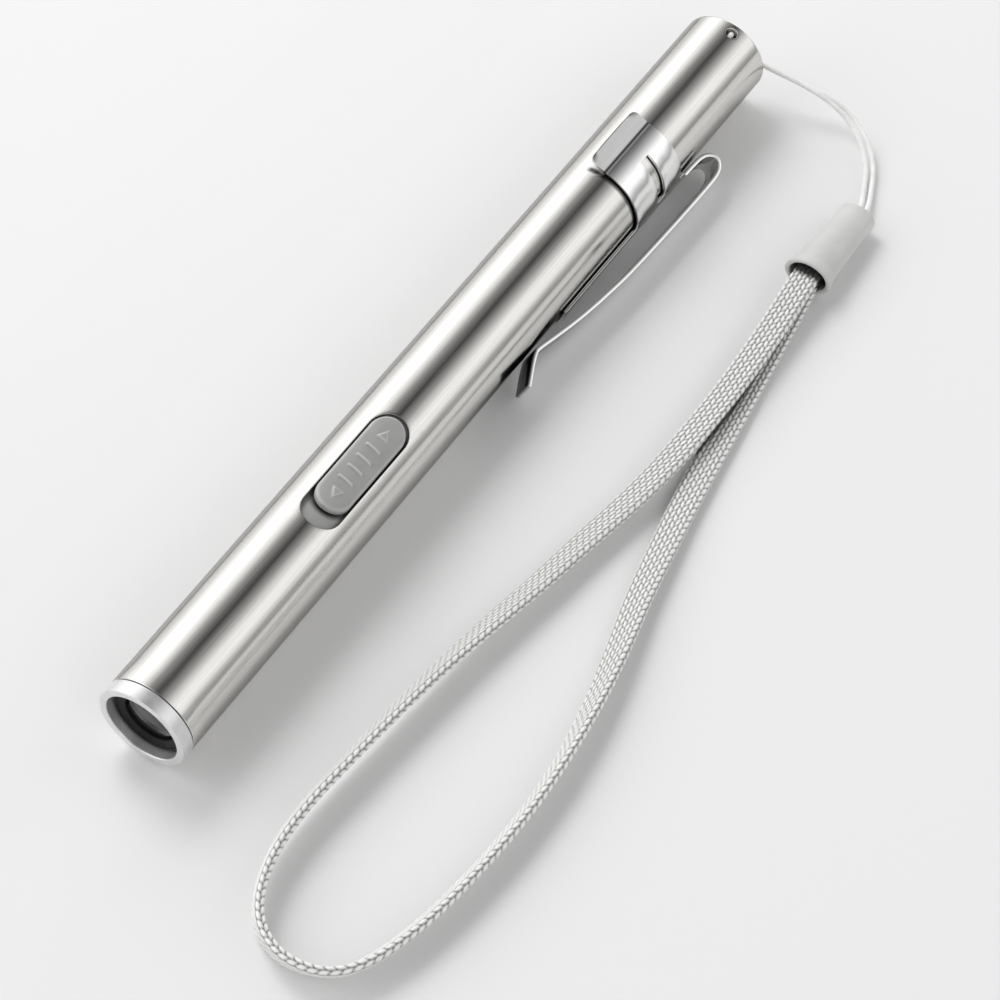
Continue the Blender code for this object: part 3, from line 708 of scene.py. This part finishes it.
def make_ferrule():
    """The flattened sleeve that joins the string to the strap, soft at its lip."""
    length = 14.5 * MM
    flatness = 0.76
    mouth = 3.65 * MM
    back = 2.78 * MM
    lip = 0.9 * MM
    throat = 2.85 * MM
    bore_depth = 9.5 * MM
    hole = 1.45 * MM
    profile = rounded_profile(
        [
            (hole, length, 0.1 * MM),
            (back, length, 0.4 * MM),
            (back + 0.2 * MM, length * 0.6, 0.0),
            (mouth - 0.36 * MM, lip * 2.1, 0.3 * MM),
            (mouth, lip * 0.8, 0.3 * MM),
            (mouth, 0.0, 0.3 * MM),
            (throat, 0.0, 0.3 * MM),
            (throat, lip * 4.0, 0.3 * MM),
            (back - 0.6 * MM, bore_depth, 0.2 * MM),
            (hole, bore_depth, 0.1 * MM),
        ]
    )
    low_mouth = mouth * flatness
    low_back = back * flatness
    drop = (low_mouth - low_back) / (length - 0.3 * MM - lip * 0.4)
    place = Matrix.Translation((42.6 * MM, -28.15 * MM, low_mouth + drop * lip * 0.4 + 0.05 * MM))
    tilt = Matrix.Rotation(math.pi / 2 + math.atan(drop), 4, "X")
    turn = Matrix.Rotation(math.pi / 2, 4, "Z") @ tilt
    squeeze = Matrix.Diagonal((1.0, flatness, 1.0, 1.0))
    placed = place @ turn @ squeeze
    ferrule = lathe("strap_ferrule", profile, 96, placed)
    back_to_profile = placed.inverted()
    # Painted shade in the sleeve's bore, from just inside its mouth.
    painted_shade = []
    for vertex in ferrule.data.vertices:
        spot = back_to_profile @ vertex.co
        inside = math.hypot(spot.x, spot.y) < throat + 0.02 * MM
        deep = ramp(spot.z, 0.25 * MM, 0.55 * MM)
        painted_shade.append(deep if inside and spot.z < bore_depth + 0.01 * MM else 0.0)
    set_values(ferrule, "painted_shade", painted_shade)
    return dress(ferrule, "pale_plastic", "barrel", "ferrule")


FERRULE = make_ferrule()
make_strap()
make_string("string_strand_a", "lanyard_string_a", -STRAND_PITCH / 2)
make_string("string_strand_b", "lanyard_string_b", STRAND_PITCH / 2)
make_hole_loop()


# ---------------------------------------------------------------- barrel

COLUMNS = 192


class Opening:
    """A round-ended hole through the tube's wall, and the block of the grid that gives way to it."""

    def __init__(self, angle, centre, reach, half_width, side_columns, low, high):
        self.angle = angle
        self.centre = centre
        self.reach = reach
        self.half_width = half_width
        middle = round(angle / (2 * math.pi) * COLUMNS)
        self.first = middle - side_columns
        self.last = middle + side_columns
        self.low = low
        self.high = high

    def holds(self, column, low, high):
        margin = 0.01 * MM
        beside = self.first <= column < self.last
        return beside and low > self.low - margin and high < self.high + margin

    def outline(self, across, along):
        """The hole's edge nearest to a place, and the way out from it."""
        shift = max(-self.reach, min(self.reach, along - self.centre))
        way = Vector((across, along - self.centre - shift)).normalized()
        return Vector((0.0, self.centre + shift)) + way * self.half_width, way


def make_wall(shape, radius, stations, openings):
    """One surface of the tube, as a grid of faces that leaves out the openings' blocks. It
    returns the grid's rows of vertices."""
    rows = []
    for along in stations:
        ring = []
        for column in range(COLUMNS):
            angle = 2 * math.pi * column / COLUMNS
            ring.append(shape.verts.new(on_torch(along, radius, angle)))
        rows.append(ring)
    for row in range(len(stations) - 1):
        for column in range(COLUMNS):
            if any(hole.holds(column, stations[row], stations[row + 1]) for hole in openings):
                continue
            after = (column + 1) % COLUMNS
            here = rows[row]
            there = rows[row + 1]
            shape.faces.new((here[column], here[after], there[after], there[column]))
    return rows


def opening_rim(hole, stations):
    """The grid places round an opening's block, in order."""
    first = min(range(len(stations)), key=lambda row: abs(stations[row] - hole.low))
    last = min(range(len(stations)), key=lambda row: abs(stations[row] - hole.high))
    rim = [(first, column) for column in range(hole.first, hole.last)]
    rim += [(row, hole.last) for row in range(first, last)]
    rim += [(last, column) for column in range(hole.last, hole.first, -1)]
    rim += [(row, hole.first) for row in range(last, first, -1)]
    return rim


def make_barrel():
    slot = Opening(SWITCH_ANGLE, 44.05 * MM, 7.35 * MM, 2.85 * MM, 17, 32.6 * MM, 55.5 * MM)
    hole = Opening(LANYARD_ANGLE, 138.3 * MM, 0.0, 0.9 * MM, 8, 136.9 * MM, 139.6 * MM)
    openings = [slot, hole]
    start = 2.2 * MM
    edge = 0.25 * MM
    stations = [*np.linspace(start + edge / 2, slot.low, 12)]
    stations += [*np.linspace(slot.low, slot.high, 25)[1:]]
    stations += [*np.linspace(slot.high, 103.8 * MM, 18)[1:]]
    stations += [104.1 * MM, 104.35 * MM, 104.6 * MM, 104.9 * MM, 105.3 * MM]
    stations += [*np.linspace(106.0 * MM, hole.low, 11)]
    stations += [*np.linspace(hole.low, hole.high, 9)[1:]]
    stations.append(LENGTH - edge)
    shape = bmesh.new()
    outer = make_wall(shape, BODY_RADIUS, stations, openings)
    inner = make_wall(shape, BORE_RADIUS, stations, openings)

    soft = 0.1 * MM
    for opening in openings:
        rim = opening_rim(opening, stations)
        loops = []
        for rows, radius in ((outer, BODY_RADIUS), (inner, BORE_RADIUS)):
            places = []
            for row, column in rim:
                angle = 2 * math.pi * column / COLUMNS - opening.angle
                vert = rows[row][column % COLUMNS]
                places.append((vert, radius * math.sin(angle), stations[row]))
            loops.append([vert for vert, _, _ in places])
            bands = 4 if radius == BODY_RADIUS else 2
            for band in range(1, bands + 1):
                share = band / bands
                loop = []
                for _, across, along in places:
                    end, way = opening.outline(across, along)
                    end = end + way * (soft if radius == BODY_RADIUS else 0.0)
                    spot = Vector((across, along)).lerp(end, share)
                    loop.append(shape.verts.new(off_chord(spot.y, spot.x, radius, opening.angle)))
                loops.append(loop)
        outer_loops = loops[:5]
        inner_loops = loops[5:]
        rounding = []
        for turn in (30, 60, 90):
            share = math.radians(turn)
            loop = []
            for row, column in rim:
                angle = 2 * math.pi * column / COLUMNS - opening.angle
                end, way = opening.outline(BODY_RADIUS * math.sin(angle), stations[row])
                spot = end + way * soft * (1 - math.sin(share))
                radius = BODY_RADIUS - soft * (1 - math.cos(share))
                loop.append(shape.verts.new(off_chord(spot.y, spot.x, radius, opening.angle)))
            rounding.append(loop)
        chain = outer_loops + rounding + list(reversed(inner_loops))
        for here, there in zip(chain, chain[1:]):
            for step in range(len(here)):
                after = (step + 1) % len(here)
                shape.faces.new((here[step], here[after], there[after], there[step]))

    front = [(BODY_RADIUS - edge * 0.15, start + edge * 0.15), (BODY_RADIUS - edge / 2, start)]
    tail = []
    for turn in (30, 60, 90):
        share = math.radians(turn)
        inwards = edge * (1 - math.cos(share))
        forwards = edge * (1 - math.sin(share))
        tail.append((BODY_RADIUS - inwards, LENGTH - forwards))
    close_end(shape, outer[0], inner[0], [*front, (BORE_RADIUS, start)])
    close_end(shape, outer[-1], inner[-1], [*tail, (BORE_RADIUS, LENGTH)])
    bmesh.ops.recalc_face_normals(shape, faces=shape.faces)
    mesh = bpy.data.meshes.new("barrel_tube")
    shape.to_mesh(mesh)
    shape.free()
    barrel = make_object("barrel_tube", mesh)
    smooth(barrel, 50)
    # Painted shade on the tube along the collar's front edge and behind the arm's tip.
    set_values(barrel, "painted_shade", [clip_painted_shade(vertex.co) for vertex in mesh.vertices])
    return dress(barrel, "brushed_stainless", "barrel", "barrel")


def degrees_off_clip(point):
    """The angle round the torch between a point and the clip's middle line."""
    angle = math.atan2(point.z - AXIS_Z, point.y - AXIS_Y)
    return abs((math.degrees(angle - CLIP_ANGLE) + 180.0) % 360.0 - 180.0)


def clip_painted_shade(point):
    """Painted shade on the tube by the clip: along the collar's front edge and behind the arm's tip."""
    along = (point.x - HEAD_X) / MM
    off_clip = degrees_off_clip(point)
    edge = ramp(along, 104.1, 104.5) * ramp(-along, -105.4, -104.9) * ramp(-off_clip, -130.0, -124.0)
    tip = ramp(along, 62.0, 71.0) * ramp(-along, -90.0, -84.0) * ramp(-off_clip, -29.0, -19.0)
    return max(0.9 * edge, 0.92 * tip)


def close_end(shape, outer, inner, profile):
    """Joins the tube's two surfaces at one end, over the rim's profile."""
    rings = [outer]
    for radius, along in profile:
        ring = []
        for column in range(COLUMNS):
            ring.append(shape.verts.new(on_torch(along, radius, 2 * math.pi * column / COLUMNS)))
        rings.append(ring)
    rings.append(inner)
    for here, there in zip(rings, rings[1:]):
        for column in range(COLUMNS):
            after = (column + 1) % COLUMNS
            shape.faces.new((here[column], here[after], there[after], there[column]))


make_barrel()


# ---------------------------------------------------------------- head


def make_head():
    end = 8.0 * MM
    bezel_length = 2.05 * MM
    bore = 5.4 * MM
    profile = rounded_profile(
        [
            (5.8 * MM, end, 0.1 * MM),
            (5.8 * MM, bezel_length, 0.0),
            (BODY_RADIUS, bezel_length, 0.12 * MM),
            (BODY_RADIUS, 0.0, 0.2 * MM),
            (bore, 0.0, 0.22 * MM),
            (bore, end, 0.1 * MM),
        ]
    )
    bezel = lathe("bezel", profile, 192)
    # Painted shade in the bezel's bore, deepening from its front edge.
    painted_shade = []
    for vertex in bezel.data.vertices:
        radius = math.hypot(vertex.co.y - AXIS_Y, vertex.co.z - AXIS_Z)
        deep = ramp((vertex.co.x - HEAD_X) / MM, 0.1, 1.2)
        painted_shade.append(0.45 * deep if radius < bore + 0.15 * MM else 0.0)
    set_values(bezel, "painted_shade", painted_shade)
    dress(bezel, "polished_ring", "bezel", "bezel_ring")
    ring_front = 1.3 * MM
    ring_bore = 3.75 * MM
    retainer = rounded_profile(
        [
            (5.1 * MM, 2.6 * MM, 0.0),
            (5.1 * MM, ring_front, 0.06 * MM),
            (4.85 * MM, ring_front, 0.05 * MM),
            (4.75 * MM, 1.5 * MM, 0.05 * MM),
            (ring_bore, 1.72 * MM, 0.08 * MM),
            (ring_bore, 2.6 * MM, 0.0),
        ]
    )
    dress(lathe("retaining_ring", retainer, 128), "black_plastic", "bezel", "lens_retainer")
    dome = 0.3 * MM
    lens_radius = ring_bore - 0.3 * MM
    lens_edge = 2.1 * MM
    flange_front = 2.9 * MM
    steps = 20
    arc = []
    for step in range(steps + 1):
        share = step / steps
        arc.append((lens_radius * share, lens_edge - dome * (1 - share**2)))
    flange = [(5.0 * MM, 4.0 * MM), (5.0 * MM, flange_front), (lens_radius, flange_front)]
    lens = [(0.0, 4.0 * MM), *flange, *reversed(arc)]
    dress(lathe("front_lens", lens, 128), "lens_glass", "bezel", "lens")


make_head()


# ---------------------------------------------------------------- switch button

BUTTON_LENGTH = 16.75 * MM
BUTTON_WIDTH = 5.1 * MM
BUTTON_CENTRE = 45.125 * MM
MARK_HEIGHT = 0.2 * MM


def make_button():
    """The thumb button: a domed pad with a soft edge, four ridges and an arrow at each end."""
    top = 7.25 * MM
    bottom = 6.0 * MM
    centre = BUTTON_CENTRE
    half = BUTTON_WIDTH / 2
    reach = BUTTON_LENGTH / 2 - half
    soft = 0.5 * MM
    rows = []
    for step in range(1, 15):
        rows.append(-reach - half * math.cos(step / 15 * math.pi / 2))
    rows += [*np.linspace(-reach, reach, 150)]
    for step in range(14, 0, -1):
        rows.append(reach + half * math.cos(step / 15 * math.pi / 2))
    count = 64
    shape = bmesh.new()
    grid = []
    highlight_paint = []
    for along in rows:
        beyond = max(0.0, abs(along) - reach)
        limit = math.sqrt(max(0.0, half**2 - beyond**2))
        line = []
        for column in range(count + 1):
            across = limit * math.sin((column / count - 0.5) * math.pi * 0.999)
            inset = half - math.hypot(across, beyond)
            drop = 0.0
            if inset < soft:
                drop = soft - math.sqrt(max(0.0, soft**2 - (soft - inset) ** 2))
            mark, painted_highlight = raised_marks(centre + along, across)
            height = top - drop + mark * MARK_HEIGHT
            line.append(shape.verts.new(off_chord(centre + along, across, height, SWITCH_ANGLE)))
            # A painted highlight along the pad's soft edge, and one on the marks' edges.
            rim = 0.45 * ramp(0.45 * MM - inset, 0.0, 0.3 * MM)
            highlight_paint.append(max(0.75 * painted_highlight, rim))
        grid.append(line)
    for here, there in zip(grid, grid[1:]):
        for column in range(count):
            shape.faces.new((here[column], here[column + 1], there[column + 1], there[column]))
    shape.faces.new(grid[0])
    shape.faces.new(grid[-1])
    edge = list(grid[0]) + [line[-1] for line in grid[1:-1]]
    edge += list(reversed(grid[-1])) + [line[0] for line in reversed(grid[1:-1])]
    skirt = []
    for vert in edge:
        offset_y = vert.co.y - AXIS_Y
        offset_z = vert.co.z - AXIS_Z
        across = -offset_y * math.sin(SWITCH_ANGLE) + offset_z * math.cos(SWITCH_ANGLE)
        skirt.append(shape.verts.new(off_chord(vert.co.x - HEAD_X, across, bottom, SWITCH_ANGLE)))
    for step in range(len(edge)):
        after = (step + 1) % len(edge)
        shape.faces.new((edge[step], edge[after], skirt[after], skirt[step]))
    shape.faces.new(skirt)
    bmesh.ops.recalc_face_normals(shape, faces=shape.faces)
    mesh = bpy.data.meshes.new("thumb_button")
    shape.to_mesh(mesh)
    shape.free()
    button = make_object("thumb_button", mesh)
    smooth(button, 60)
    # The painted highlights go to the top's points; the skirt gets none.
    set_values(button, "painted_highlight", highlight_paint + [0.0] * (len(mesh.vertices) - len(highlight_paint)))
    return dress(button, "grey_plastic", "switch", "switch_button")


def step_up(distance, softness):
    """From 0 outside a mark to 1 inside it, over the softness."""
    share = max(0.0, min(1.0, distance / softness + 0.5))
    return share * share * (3 - 2 * share)


def raised_marks(along, across):
    """The height of the button's marks, from 0 to 1, and how much painted highlight the place gets."""
    softness = 0.15 * MM
    height = 0.0
    painted_highlight = 0.0
    for place in (41.5, 43.6, 45.6, 47.7):
        inside = min(0.24 * MM - abs(along - place * MM), 1.15 * MM - abs(across))
        height = max(height, step_up(inside, softness))
        hook = min(0.15 * MM - abs(along - place * MM + 0.12 * across), 1.2 * MM - abs(across))
        painted_highlight = max(painted_highlight, step_up(hook, softness))
    for tip, base in ((38.45, 39.75), (50.95, 49.65)):
        reach = (along - tip * MM) / ((base - tip) * MM)
        slope = 0.75
        side = 0.72 * MM * reach - abs(across)
        depth = (1.0 - reach) * abs(base - tip) * MM
        inside = min(side * slope, depth)
        height = max(height, step_up(inside, softness))
        painted_highlight = max(painted_highlight, step_up(0.1 * MM - abs(inside), softness))
    return height, painted_highlight


def edge_distance(along, across, centre, length, width):
    """How far a place is outside a round-ended outline."""
    reach = (length - width) / 2
    beyond = max(0.0, abs(along - centre) - reach)
    return math.hypot(across, beyond) - width / 2


def make_plate():
    """The plate that slides under the slot with the button, with painted shade in the crack round
    the button.
    """
    start = 31.5 * MM
    end = 57.5 * MM
    half = 3.2 * MM
    inner = 5.3 * MM
    outer = 5.7 * MM
    rows = np.linspace(start, end, 131)
    columns = np.linspace(-half, half, 41)
    points = []
    painted_shade = []
    for radius in (outer, inner):
        for along in rows:
            for across in columns:
                points.append(off_chord(along, across, radius, SWITCH_ANGLE))
                away = edge_distance(along, across, BUTTON_CENTRE, BUTTON_LENGTH, BUTTON_WIDTH)
                painted_shade.append(max(0.0, min(1.0, 1.25 - away / (0.62 * MM))))
    wide = len(columns)
    layer = len(rows) * wide
    faces = []
    for row in range(len(rows) - 1):
        for column in range(wide - 1):
            first = row * wide + column
            faces.append((first, first + 1, first + wide + 1, first + wide))
            under = first + layer
            faces.append((under, under + wide, under + wide + 1, under + 1))
    border = list(range(wide))
    border += [row * wide + wide - 1 for row in range(1, len(rows))]
    border += [(len(rows) - 1) * wide + column for column in range(wide - 2, -1, -1)]
    border += [row * wide for row in range(len(rows) - 2, 0, -1)]
    for here, there in zip(border, border[1:] + border[:1]):
        faces.append((here, there, there + layer, here + layer))
    plate = mesh_object("switch_plate", points, faces)
    set_values(plate, "painted_shade", painted_shade)
    face_outwards(plate)
    smooth(plate, 35)
    return dress(plate, "grey_plastic", "switch", "switch_carrier")


make_button()
make_plate()


# ---------------------------------------------------------------- clip

SHEET = 0.4 * MM
STRIP = 0.6 * MM
CLIP_WIDTH = 4.2 * MM
COLLAR_RADIUS = 6.9 * MM
LIP_ANGLE = math.radians(103.5)
LIP_LENGTH = 3.1
LIP_STEPS = 16
LIP_GROWTH = 0.02


def on_clip(along, outward, sideways):
    """A point from its distance out along the clip's middle line and its distance to the side."""
    out_y = math.cos(CLIP_ANGLE)
    out_z = math.sin(CLIP_ANGLE)
    y = AXIS_Y + out_y * outward - out_z * sideways
    z = AXIS_Z + out_z * outward + out_y * sideways
    return (HEAD_X + along, y, z)


def collar_half(steps):
    """Half of the collar's section, from the middle of the base strip to the free lip, as
    (outward, sideways, angle) with the angle going on growing along the lip."""
    seat = math.asin(CLIP_WIDTH / 2 / COLLAR_RADIUS)
    points = []
    for step in range(4):
        angle = seat * step / 4
        points.append((COLLAR_RADIUS * math.cos(angle), COLLAR_RADIUS * math.sin(angle), angle))
    for step in range(steps + 1):
        angle = seat + (LIP_ANGLE - seat) * step / steps
        points.append((COLLAR_RADIUS * math.cos(angle), COLLAR_RADIUS * math.sin(angle), angle))
    heading = LIP_ANGLE + math.pi / 2 - math.radians(14)
    across, side, _ = points[-1]
    for step in range(1, LIP_STEPS + 1):
        reach = LIP_LENGTH * MM * step / LIP_STEPS
        out = across + reach * math.cos(heading)
        points.append((out, side + reach * math.sin(heading), LIP_ANGLE + LIP_GROWTH * step))
    return points


def make_collar():
    half = collar_half(40)
    section = [(across, -side, -angle) for across, side, angle in reversed(half[1:])] + half
    rows = [86.5, 95.0, 104.9, 106.2, 107.6, 109.0, 110.1, 112.0, 113.2, 114.6, 116.2, 117.4]
    shape = bmesh.new()
    grid = []
    front = 104.9
    back = 116.2
    middle_row = (front + back) / 2
    half_collar = (back - front) / 2
    corner = 1.1
    for along in rows:
        line = []
        for across, side, angle in section:
            into_lip = (abs(angle) - LIP_ANGLE) / (LIP_GROWTH * LIP_STEPS)
            shift = along
            if into_lip > 0.0 and abs(along - middle_row) < half_collar + 0.01:
                near_tip = max(0.0, 1.0 - (1.0 - into_lip) * LIP_LENGTH / corner)
                trim = corner * (1.0 - math.sqrt(max(0.0, 1.0 - near_tip**2)))
                shift = middle_row + (along - middle_row) * (1.0 - trim / half_collar)
            line.append(shape.verts.new(on_clip(shift * MM, across, side)))
        grid.append(line)
    strip_reach = math.asin(CLIP_WIDTH / 2 / COLLAR_RADIUS) + 0.001
    window_from = math.radians(21)
    window_to = math.radians(83)
    for row in range(len(rows) - 1):
        in_collar = 104.8 < rows[row] < 116.1
        in_window = 110.0 < rows[row] < 111.9
        for column in range(len(section) - 1):
            middle = abs(section[column][2] + section[column + 1][2]) / 2
            if not in_collar and middle > strip_reach:
                continue
            if in_window and window_from < middle < window_to:
                continue
            here = grid[row]
            there = grid[row + 1]
            shape.faces.new((here[column], here[column + 1], there[column + 1], there[column]))
    loose = [vert for vert in shape.verts if not vert.link_faces]
    bmesh.ops.delete(shape, geom=loose, context="VERTS")
    bmesh.ops.recalc_face_normals(shape, faces=shape.faces)
    mesh = bpy.data.meshes.new("clip_band")
    shape.to_mesh(mesh)
    shape.free()
    band = make_object("clip_band", mesh)
    thicken(band, SHEET, 0.07 * MM)
    # Painted shade along the lip's fold.
    set_values(band, "painted_shade", [crease(vertex.co) for vertex in band.data.vertices])
    return dress(band, "spring_steel", "barrel", "clip_collar")


def crease(point):
    """Painted shade in the fold where the free lip turns up from the collar."""
    from_fold = abs(degrees_off_clip(point) - 105.5)
    in_collar = ramp((point.x - HEAD_X) / MM, 104.0, 104.5)
    return 0.93 * in_collar * ramp(-from_fold, -2.2, -0.9)


def thicken(thing, thickness, edge):
    solidify = thing.modifiers.new("sheet", "SOLIDIFY")
    solidify.thickness = thickness
    solidify.offset = 0.0
    solidify.use_even_offset = True
    apply_modifiers(thing)
    round_edges(thing, edge)


# The arm's side view in millimetres: along the torch, and out from its axis. The long stretch
# keeps to readings taken across the clip in the photo.
ARM_ROUTE = (
    (117.4, 6.9),
    (118.9, 6.94),
    (120.2, 7.0),
    (121.2, 7.08),
    (122.1, 7.3),
    (122.8, 7.7),
    (123.25, 8.25),
    (123.35, 8.8),
    (123.15, 9.35),
    (122.6, 9.85),
    (121.8, 10.2),
    (120.6, 10.38),
    (118.0, 10.42),
    (113.0, 10.34),
    (107.0, 10.18),
    (102.0, 10.0),
    (98.0, 9.8),
    (94.5, 9.48),
    (91.0, 9.1),
    (87.0, 8.53),
    (83.0, 7.78),
    (80.4, 7.25),
    (79.1, 7.06),
    (78.2, 7.25),
    (76.8, 7.85),
    (75.1, 8.7),
    (73.8, 9.35),
)
BEND_END = 118.0


def make_strip(name, places, thickness, closed_edge):
    shape = bmesh.new()
    rows = []
    for along, outward in places:
        sides = (-CLIP_WIDTH / 2, -CLIP_WIDTH / 6, CLIP_WIDTH / 6, CLIP_WIDTH / 2)
        rows.append([shape.verts.new(on_clip(along, outward, side)) for side in sides])
    for here, there in zip(rows, rows[1:]):
        for column in range(3):
            shape.faces.new((here[column], here[column + 1], there[column + 1], there[column]))
    bmesh.ops.recalc_face_normals(shape, faces=shape.faces)
    mesh = bpy.data.meshes.new(name)
    shape.to_mesh(mesh)
    shape.free()
    strip = make_object(name, mesh)
    thicken(strip, thickness, closed_edge)
    return strip


def tip_shade(point):
    """Painted shade on the tip's inner face, which only sees the tube."""
    along = (point.x - HEAD_X) / MM
    out_y = (point.y - AXIS_Y) * math.cos(CLIP_ANGLE)
    out_z = (point.z - AXIS_Z) * math.sin(CLIP_ANGLE)
    outward = (out_y + out_z) / MM
    middle = 7.06 + (79.1 - along) * 0.432
    return 0.75 if along < 79.0 and outward < middle - 0.1 else 0.0


def make_arm():
    """The clip's bend as a strip of its own, and the arm beyond it. The arm is rigid."""
    route = [(along * MM, outward * MM, 0.0) for along, outward in ARM_ROUTE]
    places = smooth_route(route, 0.25 * MM)[:, :2]
    split = 0
    for index, (along, outward) in enumerate(places):
        if outward > 10.0 * MM and along < BEND_END * MM:
            split = index
            break
    bend = make_strip("clip_bend", places[: split + 1], STRIP, 0.08 * MM)
    bend.data.materials.append(MATERIALS["spring_steel"])
    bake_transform(bend)
    arm = make_strip("clip_spring_arm", places[split:], STRIP, 0.08 * MM)
    # Painted shade on the tip's inner face.
    set_values(arm, "painted_shade", [tip_shade(vertex.co) for vertex in arm.data.vertices])
    dress(arm, "spring_steel", "clip_arm", "clip_arm")


make_collar()
make_arm()


# ---------------------------------------------------------------- carried-over nodes


def dress_nodes():
    """The CAD nodes that stay as they are get the finish of their material slot."""
    for thing in NODES.values():
        if thing.hide_render:
            continue
        for place in thing.material_slots:
            name = place.material.name.split(".")[0] if place.material else "brushed_stainless"
            if name in MATERIALS:
                place.material = MATERIALS[name]
        thing.data.shade_smooth()
        thing.data.set_sharp_from_angle(angle=math.radians(35))


dress_nodes()


# ---------------------------------------------------------------- floor and light


def make_floor():
    """A plain pale floor."""
    size = 3.0
    corners = [(-size, -size, 0.0), (size, -size, 0.0), (size, size, 0.0), (-size, size, 0.0)]
    floor = mesh_object("floor", corners, [(0, 1, 2, 3)])
    material = new_material("floor_white", (0.86, 0.86, 0.86), 0.5)
    shader = shader_of(material)
    shader.inputs["Specular IOR Level"].default_value = 0.3
    floor.data.materials.append(material)


# The studio's brightness round the torch, by angle in degrees from +Y over the top to -Y: a wide
# bright panel on one side, a dark strip overhead and a narrower panel on the other side. It was
# adjusted until the tube's reflections came close to the photo's.
STUDIO = (
    (-90, 0.85),
    (-6, 0.85),
    (28, 1.75),
    (46, 1.6),
    (60, 1.0),
    (72, 0.38),
    (94, 0.04),
    (113, 0.4),
    (138, 1.25),
    (155, 1.2),
    (169, 0.5),
    (180, 0.28),
    (190, 0.85),
)


def make_world():
    world = bpy.data.worlds.new("studio")
    world.use_nodes = True
    tree = world.node_tree
    background = tree.nodes["Background"]
    place = tree.nodes.new("ShaderNodeTexCoord")
    split = tree.nodes.new("ShaderNodeSeparateXYZ")
    angle = tree.nodes.new("ShaderNodeMath")
    angle.operation = "ARCTAN2"
    # The angle is taken from straight down on the +Y side, so that it never wraps above the floor.
    scale = tree.nodes.new("ShaderNodeMapRange")
    scale.inputs["From Min"].default_value = -math.pi / 2
    scale.inputs["From Max"].default_value = math.radians(190)
    scale.inputs["To Min"].default_value = 0.0
    scale.inputs["To Max"].default_value = 1.0
    ramp = tree.nodes.new("ShaderNodeValToRGB")
    most = max(brightness for _, brightness in STUDIO)
    stops = ramp.color_ramp.elements
    while len(stops) < len(STUDIO):
        stops.new(0.5)
    for stop, (degrees, brightness) in zip(stops, STUDIO):
        stop.position = (degrees + 90) / 280
        stop.color = (brightness / most, brightness / most, brightness / most, 1.0)
    tree.links.new(place.outputs["Generated"], split.inputs["Vector"])
    tree.links.new(split.outputs["Z"], angle.inputs[0])
    tree.links.new(split.outputs["Y"], angle.inputs[1])
    tree.links.new(angle.outputs["Value"], scale.inputs["Value"])
    tree.links.new(scale.outputs["Result"], ramp.inputs["Fac"])
    tree.links.new(ramp.outputs["Color"], background.inputs["Color"])
    background.inputs["Strength"].default_value = most
    bpy.context.scene.world = world


def make_key():
    """A soft lamp behind the torch, which lays its shadow towards the camera."""
    data = bpy.data.lights.new("key", "AREA")
    data.shape = "DISK"
    data.size = 0.42
    data.energy = 2.6
    lamp = bpy.data.objects.new("key", data)
    bpy.context.scene.collection.objects.link(lamp)
    direction = Vector((0.264, 0.585, 0.766)).normalized()
    lamp.location = direction * 0.9
    lamp.rotation_euler = direction.to_track_quat("Z", "Y").to_euler()
    lamp.visible_glossy = False


def reflection_card(name, reach, near, far, brightness):
    """A plain card lying beside the torch, from near to far along Y, that shows only in
    reflections."""
    low = 0.3 * MM
    corners = [(-reach, near, low), (reach, near, low), (reach, far, low), (-reach, far, low)]
    card = mesh_object(name, corners, [(0, 1, 2, 3)])
    material = bpy.data.materials.new(name)
    material.use_nodes = True
    nodes = material.node_tree.nodes
    nodes.clear()
    glow = nodes.new("ShaderNodeEmission")
    glow.inputs["Color"].default_value = (1.0, 1.0, 1.0, 1.0)
    glow.inputs["Strength"].default_value = brightness
    output = nodes.new("ShaderNodeOutputMaterial")
    material.node_tree.links.new(glow.outputs["Emission"], output.inputs["Surface"])
    card.data.materials.append(material)
    card.visible_camera = False
    card.visible_diffuse = False
    card.visible_shadow = False
    card.visible_transmission = False
    return card


make_floor()
make_world()
make_key()
reflection_card("dark_strip", 0.4, 33.0 * MM, 60.0 * MM, 0.5)
bpy.context.scene.view_settings.view_transform = "Standard"
